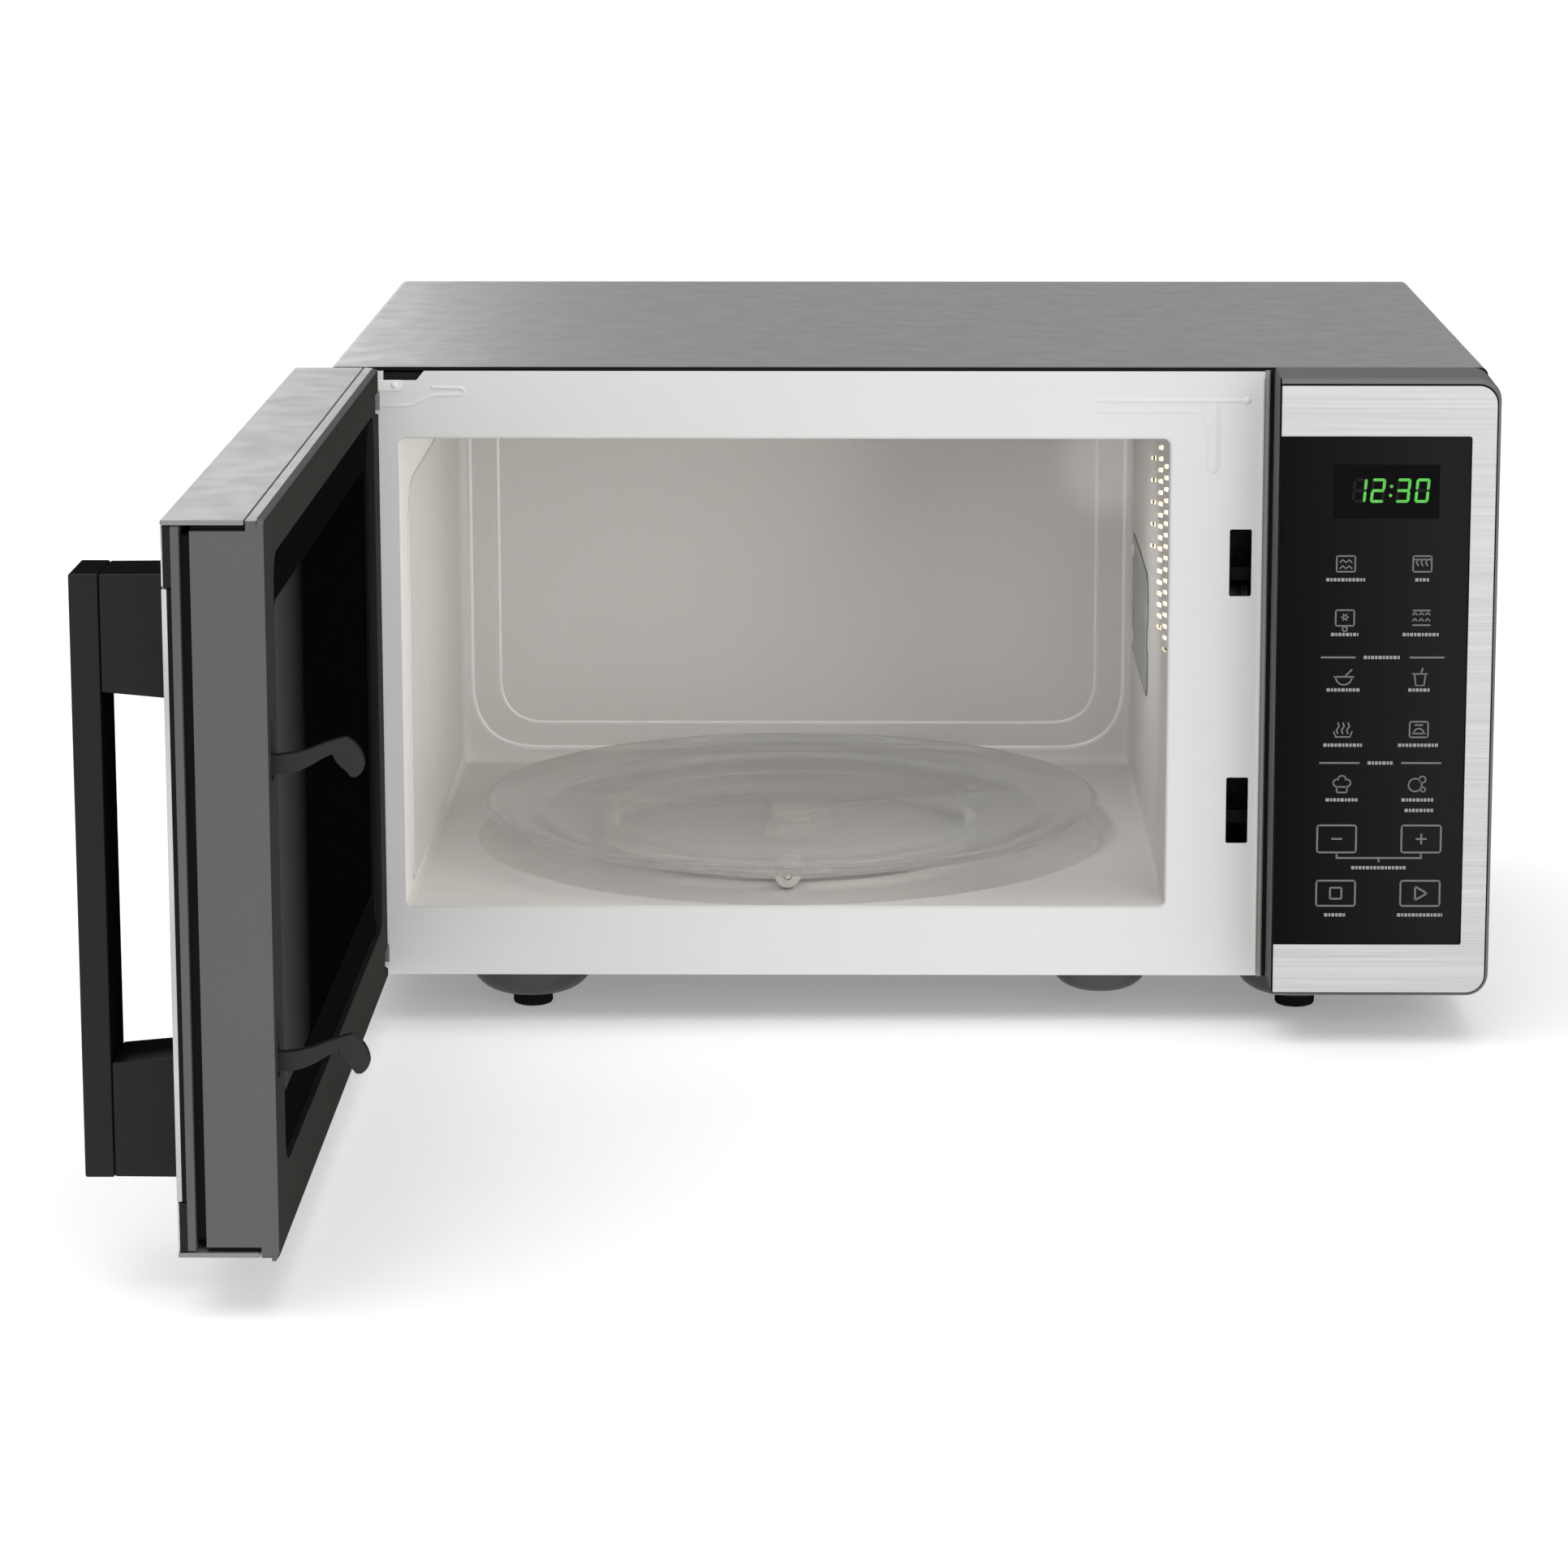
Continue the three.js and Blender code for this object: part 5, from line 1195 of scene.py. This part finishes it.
def build_print(y):
    """Icons, dividers and key outlines, printed on the panel's glass."""
    left, right = 190.8, 224.1
    # heights of the icon and the label, and then the two icons and the lengths of their labels
    rows = [(216.6, 209.8, icon_waves, icon_grill, 17, 6), (192.6, 185.5, icon_frost, icon_combi, 12, 16),
            (166.2, 160.8, icon_bowl, icon_cup, 15, 10), (142.9, 136.1, icon_warm, icon_dough, 17, 18),
            (118.2, 111.5, icon_hat, icon_bubbles, 14, 14)]
    icons, marks, keys = [], [], []
    for icon_z, label_z, first, second, first_length, second_length in rows:
        icons += placed(first(), left, icon_z, ICON_SIZE) + placed(second(), right, icon_z, ICON_SIZE)
        marks += label(left, label_z, first_length) + label(right, label_z, second_length)
    marks += label(right + 1, 106.8, 13)
    for z, ends in ((175.3, (180.6, 195.8, 219.4, 234.6)), (128.1, (180.7, 198.4, 216.7, 234.3))):
        keys += [stroke([(ends[0], z), (ends[1], z)], 0.8), stroke([(ends[2], z), (ends[3], z)], 0.8)]
        marks += label((ends[1] + ends[2]) / 2, z, ends[2] - ends[1] - 7)
    for low, high in ((87.8, 100.0), (63.6, 75.0)):
        keys += frame_strokes(180.4, 197.5, low, high, 1, 0.8)
        keys += frame_strokes(217.5, 234.8, low, high, 1, 0.8)
    minus, plus = (189, 93.9), (226.2, 93.9)
    keys.append(stroke([(minus[0] - 2.4, minus[1]), (minus[0] + 2.4, minus[1])], 0.8))
    keys.append(stroke([(plus[0] - 2.4, plus[1]), (plus[0] + 2.4, plus[1])], 0.8))
    keys.append(stroke([(plus[0], plus[1] - 2.4), (plus[0], plus[1] - 0.41)], 0.8))
    keys.append(stroke([(plus[0], plus[1] + 0.41), (plus[0], plus[1] + 2.4)], 0.8))
    keys += [stroke([(188.7, 85.3), (226.6, 85.3)], 0.8), stroke([(189.1, 87.2), (189.1, 85.72)], 0.8),
             stroke([(226.2, 87.2), (226.2, 85.72)], 0.8), stroke([(207.6, 84.88), (207.6, 83.4)], 0.8)]
    marks += label(207.6, 80.9, 24) + label(189, 59.5, 10) + label(226.2, 59.5, 20)
    keys += frame_strokes(186.5, 191.5, 66.8, 71.8, 0.2, 0.8)
    keys += [stroke([a, b], 0.8) for a, b in (((224, 66.2), (224, 72.4)), ((224, 72.4), (229.2, 69.3)),
                                              ((229.2, 69.3), (224, 66.2)))]
    piece("panel_icons", flat_prints(icons, y), ICON_PRINT, "cabinet")
    piece("panel_keys", flat_prints(keys, y, 0.05), ICON_PRINT, "cabinet")
    piece("panel_labels", flat_prints(marks, y), LABEL_PRINT, "cabinet")


# ------------------------------------------------------------------------------------------------
# Turntable
# ------------------------------------------------------------------------------------------------
def build_turntable():
    centre = offset(TABLE.x, TABLE.y, 0)
    low, high = node_box("glass_tray")
    r, under, rim = (high.x - low.x) / 2, low.z, high.z
    top = under + 4
    profile = [
        (0, under + 0.4), (26, under + 0.4), (30, under), (r - 28, under), (r - 20, under + 0.2),
        (r - 13, under + 1), (r - 8, under + 2.2), (r - 4, under + 4),
        (r - 1.2, rim - 2.6), (r - 0.2, rim - 1.6),
        (r, rim - 0.9), (r - 0.5, rim - 0.2), (r - 1.6, rim), (r - 3, rim - 0.4), (r - 5, rim - 2),
        (r - 8, rim - 3.4), (r - 12, top + 1), (r - 17, top + 0.25), (r - 22, top), (r - 27, top + 0.5),
        (r - 30, top + 0.5), (r - 33, top), (0, top),
    ]
    piece("tray_glass", moved(turned(profile, 128), centre), CLEAR, "turntable", stands_for=["glass_tray"],
          angle=60)

    ring_low, ring_high = node_box("roller_ring")
    inner, outer = 84, 91
    below, above, cut = ring_low.z, ring_high.z, 0.8
    hoop = turned([(inner, below + cut), (inner + cut, below), (outer - cut, below), (outer, below + cut),
                   (outer, above - cut), (outer - cut, above), (inner + cut, above), (inner, above - cut)],
                  128, closed=True)
    axles = []
    for i in range(3):
        wheel = joint_place(f"roller_{i + 1}_spin")
        angle = math.atan2(wheel.y - TABLE.y, wheel.x - TABLE.x)
        axle = turned([(0, outer - 1), (1.6, outer - 1), (1.6, 103.2), (1.2, 104), (0, 104)], 24)
        socket = turned([(0, outer - 1.5), (3.4, outer - 1.5), (3.4, outer + 1.6), (2.8, outer + 2.4),
                         (0, outer + 2.4)], 24)
        turn = offset(0, 0, wheel.z) @ Matrix.Rotation(angle, 4, "Z") @ Matrix.Rotation(math.pi / 2, 4, "Y")
        axles += [moved(axle, turn), moved(socket, turn)]
        tyre = turned([(2, -3), (4.9, -3), (5.7, -2.6), (6, -1.8), (6, 1.8), (5.7, 2.6), (4.9, 3), (2, 3)],
                      48, closed=True)
        reach = math.hypot(wheel.x - TABLE.x, wheel.y - TABLE.y)
        roll = centre @ turn @ offset(0, 0, reach)
        piece(f"roller_tyre_{i + 1}", moved(tyre, roll), PALE_PLASTIC, f"roller_{i + 1}",
              stands_for=[f"roller_wheel_{i + 1}"])
    piece("roller_hoop", moved(merged(hoop, *axles), centre), PALE_PLASTIC, "roller_ring",
          stands_for=["roller_ring"])


# ------------------------------------------------------------------------------------------------
# Door, drawn closed
# ------------------------------------------------------------------------------------------------
CAP = 1.8  # thickness of the caps over the door's top and bottom
RIM = 6.4  # depth of the door box's full-height rim
PLATE = 2.7  # thickness of the inner cover


def hinge_room():
    """What the door leaves free for the hinge tabs and pins, and its corner that swings past the frame."""
    cutters = []
    for node in ("hinge_upper", "hinge_lower"):
        tab = node_box(node)[0].z + 5
        rods = [(14.5, tab - 6, tab + 4), (3.4, tab, tab + 12)]
        cutters += [prism([circle(HINGE.x, HINGE.y, r, 48)], start, end, "XY") for r, start, end in rods]
    corner = 12.9
    outside = HINGE.x - 14
    outline = [(HINGE.x, 1), *arc(HINGE.x, HINGE.y, corner, 90, 180, 12), (outside, HINGE.y), (outside, 1)]
    cutters.append(prism([outline], 10, 310, "XY"))
    return cutters


def door_hollow(shell):
    low, high = node_box("door_frame", DOOR)
    room = block(low.x + 26, high.x - 12, low.y - 2, high.y + 8, low.z + 32, high.z - 16)
    return carved(shell, room, *hinge_room())


def build_door_shell():
    low, high = node_box("door_frame", DOOR)
    face_low, face_high = node_box("door_outer_frame", DOOR)
    inner_face = node_box("door_inner_cover", DOOR)[1].y
    rim_back = inner_face - PLATE
    rim_front = inner_face - RIM
    line = 0.6
    groove = 2.2
    strip_thick = 0.4
    # seen from its free end: a body set in under the caps, and a rim as tall as the door
    section = [(low.y, low.z + CAP + groove), (rim_front, low.z + CAP + groove), (rim_front, low.z),
               (rim_back, low.z), (rim_back, high.z - strip_thick), (rim_front, high.z - strip_thick),
               (rim_front, high.z - CAP - groove), (low.y, high.z - CAP - groove)]
    body = door_hollow(prism([section], low.x, high.x, "YZ"))
    piece("door_box", body, DOOR_GREY, "door", DOOR, ["door_frame"], 0.5)
    # painted shade: a black block lying in the groove
    filler = block(low.x + 2, high.x - 2.4, low.y + 0.2, rim_front - 0.1,
                   low.z + CAP - 0.1, high.z - CAP + 0.1)
    piece("door_groove_floor", door_hollow(filler), BLACK_AND_PAINTED_SHADE, "door", DOOR)
    trim_front = node_box("door_trim_top", DOOR)[0].y
    caps = []
    for start in (low.z, high.z - CAP):
        caps.append(block(low.x, high.x, trim_front, rim_front - line, start, start + CAP))
    piece("door_caps", carved(merged(*caps), *hinge_room()), DOOR_SILVER, "door", DOOR,
          bevel=0.35)
    strip = block(low.x, high.x, rim_front, rim_back + 0.3, high.z - strip_thick, high.z)
    piece("door_rim_strip", carved(strip, *hinge_room()), DOOR_SILVER, "door", DOOR,
          bevel=0.1)

    # the frame behind the glass, with a shadow groove behind it
    ring = [rounded(face_low.x, face_high.x, face_low.z + CAP + 0.2, face_high.z - CAP - 0.2, 1.5),
            rounded(face_low.x + 24, face_high.x - 24, face_low.z + 30, face_high.z - 30, 3)]
    groove_front = face_low.y + 3
    piece("door_face_frame", prism(ring, face_low.y, groove_front), DOOR_GREY, "door", DOOR,
          ["door_outer_frame"], 0.4)
    # painted shade: the groove's walls behind the face frame are made black
    neck = [rounded(face_low.x + 4, face_high.x - 4, face_low.z + 5, face_high.z - 5, 1.5),
            rounded(face_low.x + 26, face_high.x - 26, face_low.z + 32, face_high.z - 32, 3)]
    piece("door_neck", prism(neck, groove_front - 0.4, low.y + 0.3), BLACK_AND_PAINTED_SHADE, "door", DOOR)


def build_door_front():
    glass_low, glass_high = node_box("door_glass", DOOR)
    edge = 1.9
    outline = rounded(glass_low.x, glass_high.x, glass_low.z, glass_high.z, 0.6, 3)
    pane = prism([outline], glass_low.y, glass_low.y + edge)
    # painted light: the pane's edges and back get the light grey glass finish
    pane.normal_update()
    for face in pane.faces:
        face.material_index = 0 if face.normal.y < -0.9 else 1
    piece("door_face_glass", pane, [PANE, PANE_EDGE_PAINTED_LIGHT], "door", DOOR, ["door_glass"], 0.25)
    backing = block(glass_low.x + 0.1, glass_high.x - 0.1, glass_low.y + edge + 0.02, glass_high.y + 0.25,
                    glass_low.z + 0.1, glass_high.z - 0.1)
    piece("door_glass_backing", backing, BLACK_AND_PAINTED_SHADE, "door", DOOR, bevel=0.1)
    for node, name in (("door_trim_top", "door_bar_top"), ("door_trim_bottom", "door_bar_bottom")):
        low, high = node_box(node, DOOR)
        if node == "door_trim_top":
            high.z -= CAP + 0.1
        else:
            low.z += CAP + 0.1
        bar = prism([rounded(low.x, high.x, low.z, high.z, 0.8, 4)], low.y + 0.7, high.y + 0.25)
        outline = rounded(low.x + 0.4, high.x - 0.4, low.z + 0.3, high.z - 0.3, 0.8, 4)
        plate = prism([outline], low.y, low.y + 0.9)
        piece(name, plate, STEEL, "door", DOOR, [node], 0.3)
        piece(name + "_core", bar, BLACK_PLASTIC, "door", DOOR, bevel=0.3)


def build_door_inside():
    """The inner cover: a plate with a rim, stepping down to the window."""
    low, high = node_box("door_inner_cover", DOOR)
    window_low, window_high = node_box("door_window", DOOR)
    face = high.y
    floor = window_high.y - 0.1
    hole = (window_low.x + 2, window_high.x - 2, window_low.z + 2, window_high.z - 2)

    def ring_at(y, grow, radius):
        outline = rounded(hole[0] - grow, hole[1] + grow, hole[2] - grow, hole[3] + grow, radius, 8)
        return [(x, y, z) for x, z in outline]

    steps = [(face, 0, 10), (face - 0.4, -0.5, 9.6), (face - 2.0, -1.0, 9), (face - 2.4, -1.6, 8.5),
             (face - 2.5, -20, 6), (face - 2.6, -21, 5)]
    chamfer, chamfer_depth = 2.4, 1.6

    def edge_at(y, inset, radius, low_inset):
        outline = rounded(low.x + inset, high.x - inset, low.z + low_inset, high.z - inset, radius)
        return [(x, y, z) for x, z in outline]

    rings = [edge_at(face, 0.6, 3, chamfer)] + [ring_at(*step) for step in steps]
    rings += [ring_at(face - PLATE, -21, 5), edge_at(face - PLATE, 0, 3.5, 0),
              edge_at(face - chamfer_depth, 0, 3.5, 0), edge_at(face - 0.5, 0, 3.5, chamfer - 0.9)]
    mesh = bmesh.new()
    rows = [[mesh.verts.new(point) for point in ring] for ring in rings]
    for near, far in zip(rows, rows[1:] + rows[:1]):
        for i in range(len(near)):
            j = (i + 1) % len(near)
            mesh.faces.new((near[i], near[j], far[j], far[i]))
    bmesh.ops.recalc_face_normals(mesh, faces=mesh.faces)
    hooks_low, hooks_high = node_box("latch_hooks", DOOR)
    slots = []
    for root in HOOK_ROOTS:
        slots.append(block(hooks_low.x - 2, hooks_high.x + 2, -20, 1, root - 6, root + 16.5))
    mesh = carved(mesh, *hinge_room(), *slots)
    mesh.normal_update()
    for each in mesh.faces:
        centre = each.calc_center_median()
        at_end = centre.z > high.z - 1.5 or centre.z < low.z + 3
        at_side = centre.x > high.x - 1.5 or centre.x < low.x + 1.5
        rim = each.normal.y < 0.85 and (at_end or at_side)
        inner = hole[0] - 0.3 < centre.x < hole[1] + 0.3 and hole[2] - 0.3 < centre.z < hole[3] + 0.3
        each.material_index = 1 if rim else 2 if inner else 0
    piece("door_cover_plate", mesh, [INNER_BLACK, DOOR_GREY, BLACK_AND_PAINTED_SHADE], "door", DOOR,
          ["door_inner_cover"], 0.4)
    pane = prism([rounded(window_low.x, window_high.x, window_low.z, window_high.z, 4)], window_low.y, floor)
    piece("door_window_pane", pane, WINDOW, "door", DOOR, ["door_window"], 0.2)


HOOK_ROOTS = [206.5, 95.2]


def hook_outline(root):
    """A hook seen from its side: out of the door's inner face, over a hump and down to a barb."""
    face = node_box("door_inner_cover", DOOR)[1].y
    line = curved([(-21, -3.6), (4, -3.6), ((9, -3.2), (15.4, 0.6)), ((20, 3.6), (22, 3.8)),
                   ((22.4, 1), (26.4, -2.1)), (28.4, -4.6), (30.3, -4.6), ((33.6, -2.6), (33.6, 0.9)),
                   ((32.8, 7.4), (27, 10.3)), ((23, 9.6), (17, 7.3)), ((9, 3.8), (0, 3.6)), (-21, 3.6)])
    return [(face + out, root + up) for out, up in line]


def build_latch():
    low, high = node_box("latch_hooks", DOOR)
    bar = block(low.x, high.x, -26.5, -22.3, 78, 228)
    hooks = [prism([hook_outline(root)], low.x, high.x, "YZ") for root in HOOK_ROOTS]
    ribs = []
    for root in HOOK_ROOTS:
        ribs.append(block(low.x + 0.8, high.x - 0.8, -25, -12, root - 6, root + 6))
    piece("latch_hook_pair", merged(bar, *hooks, *ribs), HOOK_BLACK, "latch", DOOR, ["latch_hooks"],
          0.7)


def build_handle():
    low, high = node_box("handle", DOOR)
    front, back = low.y, high.y
    bar_back = front + 11.5
    post = 44
    seam = 0.5
    bar = [(front, low.z), (bar_back - seam, low.z), (bar_back - seam, high.z), (front, high.z)]
    piece("handle_bar", prism([bar], low.x, high.x, "YZ"), HANDLE_BLACK, "door", DOOR, ["handle"],
          0.8, 3)
    flare = 2.5
    for name, foot, sign in (("handle_post_lower", low.z, 1), ("handle_post_upper", high.z, -1)):
        join = bar_back - seam + 0.1
        outline = [(join, foot + sign * 0.2), (back, foot), (back, foot + sign * (post + flare)),
                   (join, foot + sign * post)]
        piece(name, prism([outline], low.x + 0.4, high.x - 0.4, "YZ"), HANDLE_BLACK, "door", DOOR,
              bevel=0.6)
        ends = sorted((foot, foot + sign * (post + 2)))
        washer = prism([rounded(low.x + 2, high.x - 2, *ends, 2)], back - 0.1, back + 0.28)
        piece(name + "_washer", washer, RUBBER, "door", DOOR)


# ------------------------------------------------------------------------------------------------
# Floor, light and camera
# ------------------------------------------------------------------------------------------------
def build_floor():
    size = 12
    mesh = bpy.data.meshes.new("floor")
    corners = [(-size, -size, 0), (size, -size, 0), (size, size, 0), (-size, size, 0)]
    mesh.from_pydata(corners, [], [(0, 1, 2, 3)])
    finish = Finish("floor_white", (0.9, 0.9, 0.9), 0.6)
    finish.tint(finish.noise(400), (0.88, 0.88, 0.885))
    finish.set("Emission Color", (1, 1, 1, 1))
    finish.set("Emission Strength", 0.26)
    mesh.materials.append(finish.material)
    floor = bpy.data.objects.new("floor", mesh)
    bpy.context.scene.collection.objects.link(floor)


def softbox(name, place, target, width, height, power, color=(1, 1, 1)):
    light = bpy.data.lights.new(name, "AREA")
    light.shape = "RECTANGLE"
    light.size = width
    light.size_y = height
    light.energy = power
    light.color = color
    obj = bpy.data.objects.new(name, light)
    obj.location = place
    obj.rotation_euler = (Vector(target) - Vector(place)).to_track_quat("-Z", "Y").to_euler()
    bpy.context.scene.collection.objects.link(obj)
    return obj


def build_oven_light():
    """The oven lamp, its soft fill on the right wall, and its glow on the corner of the back wall."""
    c = cavity_size()
    lamp = CABINET @ Vector((c["right"] - 4, 70, 205))
    middle = CABINET @ Vector((-200, 130, 150))
    oven_lamp = softbox("oven_lamp", lamp, middle, 0.08, 0.09, 0.2, (1, 0.96, 0.92))
    oven_lamp.data.spread = math.radians(110)
    inside = CABINET @ Vector((c["right"] - 110, 50, c["high"] - 24))
    wall = CABINET @ Vector((c["right"], 190, 110))
    cavity_fill = softbox("cavity_fill", inside, wall, 0.04, 0.04, 0.05)
    cavity_fill.data.spread = math.radians(90)
    glow = bpy.data.lights.new("corner_glow", "SPOT")
    glow.energy = 0.2
    glow.spot_size = math.radians(15)
    glow.spot_blend = 0.5
    glow.shadow_soft_size = 0.01
    glow_object = bpy.data.objects.new("corner_glow", glow)
    glow_object.location = CABINET @ Vector((c["right"] - 22, 96, 216))
    aim = CABINET @ Vector((c["right"] - 12, c["back"], 207)) - glow_object.location
    glow_object.rotation_euler = aim.to_track_quat("-Z", "Y").to_euler()
    bpy.context.scene.collection.objects.link(glow_object)


def build_light():
    world = bpy.data.worlds.new("studio")
    bpy.context.scene.world = world
    world.use_nodes = True
    background = world.node_tree.nodes["Background"]
    background.inputs["Color"].default_value = (1, 1, 1, 1)
    background.inputs["Strength"].default_value = 0.6
    sun = bpy.data.lights.new("overhead", "SUN")
    sun.energy = 1.3
    sun.angle = math.radians(60)
    overhead = bpy.data.objects.new("overhead", sun)
    overhead.rotation_euler = (math.radians(14), math.radians(-8), 0)
    bpy.context.scene.collection.objects.link(overhead)
    build_oven_light()
    softbox("fill", (0.9, -2.6, 1.0), (-0.1, 0, 0.15), 1.6, 1.2, 14)
    softbox("back_left", (-1.3, 3.0, 1.1), (-0.1, 0.2, 0.3), 1.7, 0.9, 10.5)


def build_camera():
    data = bpy.data.cameras.new("camera")
    data.lens = 112.43
    data.sensor_width = 36
    data.shift_x = -0.04
    data.shift_y = -0.10
    data.clip_start = 0.05
    data.clip_end = 60
    camera = bpy.data.objects.new("camera", data)
    low, high = cad_bounds
    camera.location = (low + high) / 2 + Vector((0.01054, -2.10048, 0.43185))
    camera.rotation_euler = (math.radians(90 - 10.5608), 0, math.radians(0.3279))
    bpy.context.scene.collection.objects.link(camera)
    bpy.context.scene.camera = camera


build_camera()
build_cover()
build_back()
build_front()
build_base()
build_feet()
build_liner()
build_compartment()
build_panel()
build_turntable()
build_door_shell()
build_door_front()
build_door_inside()
build_latch()
build_handle()
build_floor()
build_light()
bpy.context.scene.view_settings.view_transform = "Standard"
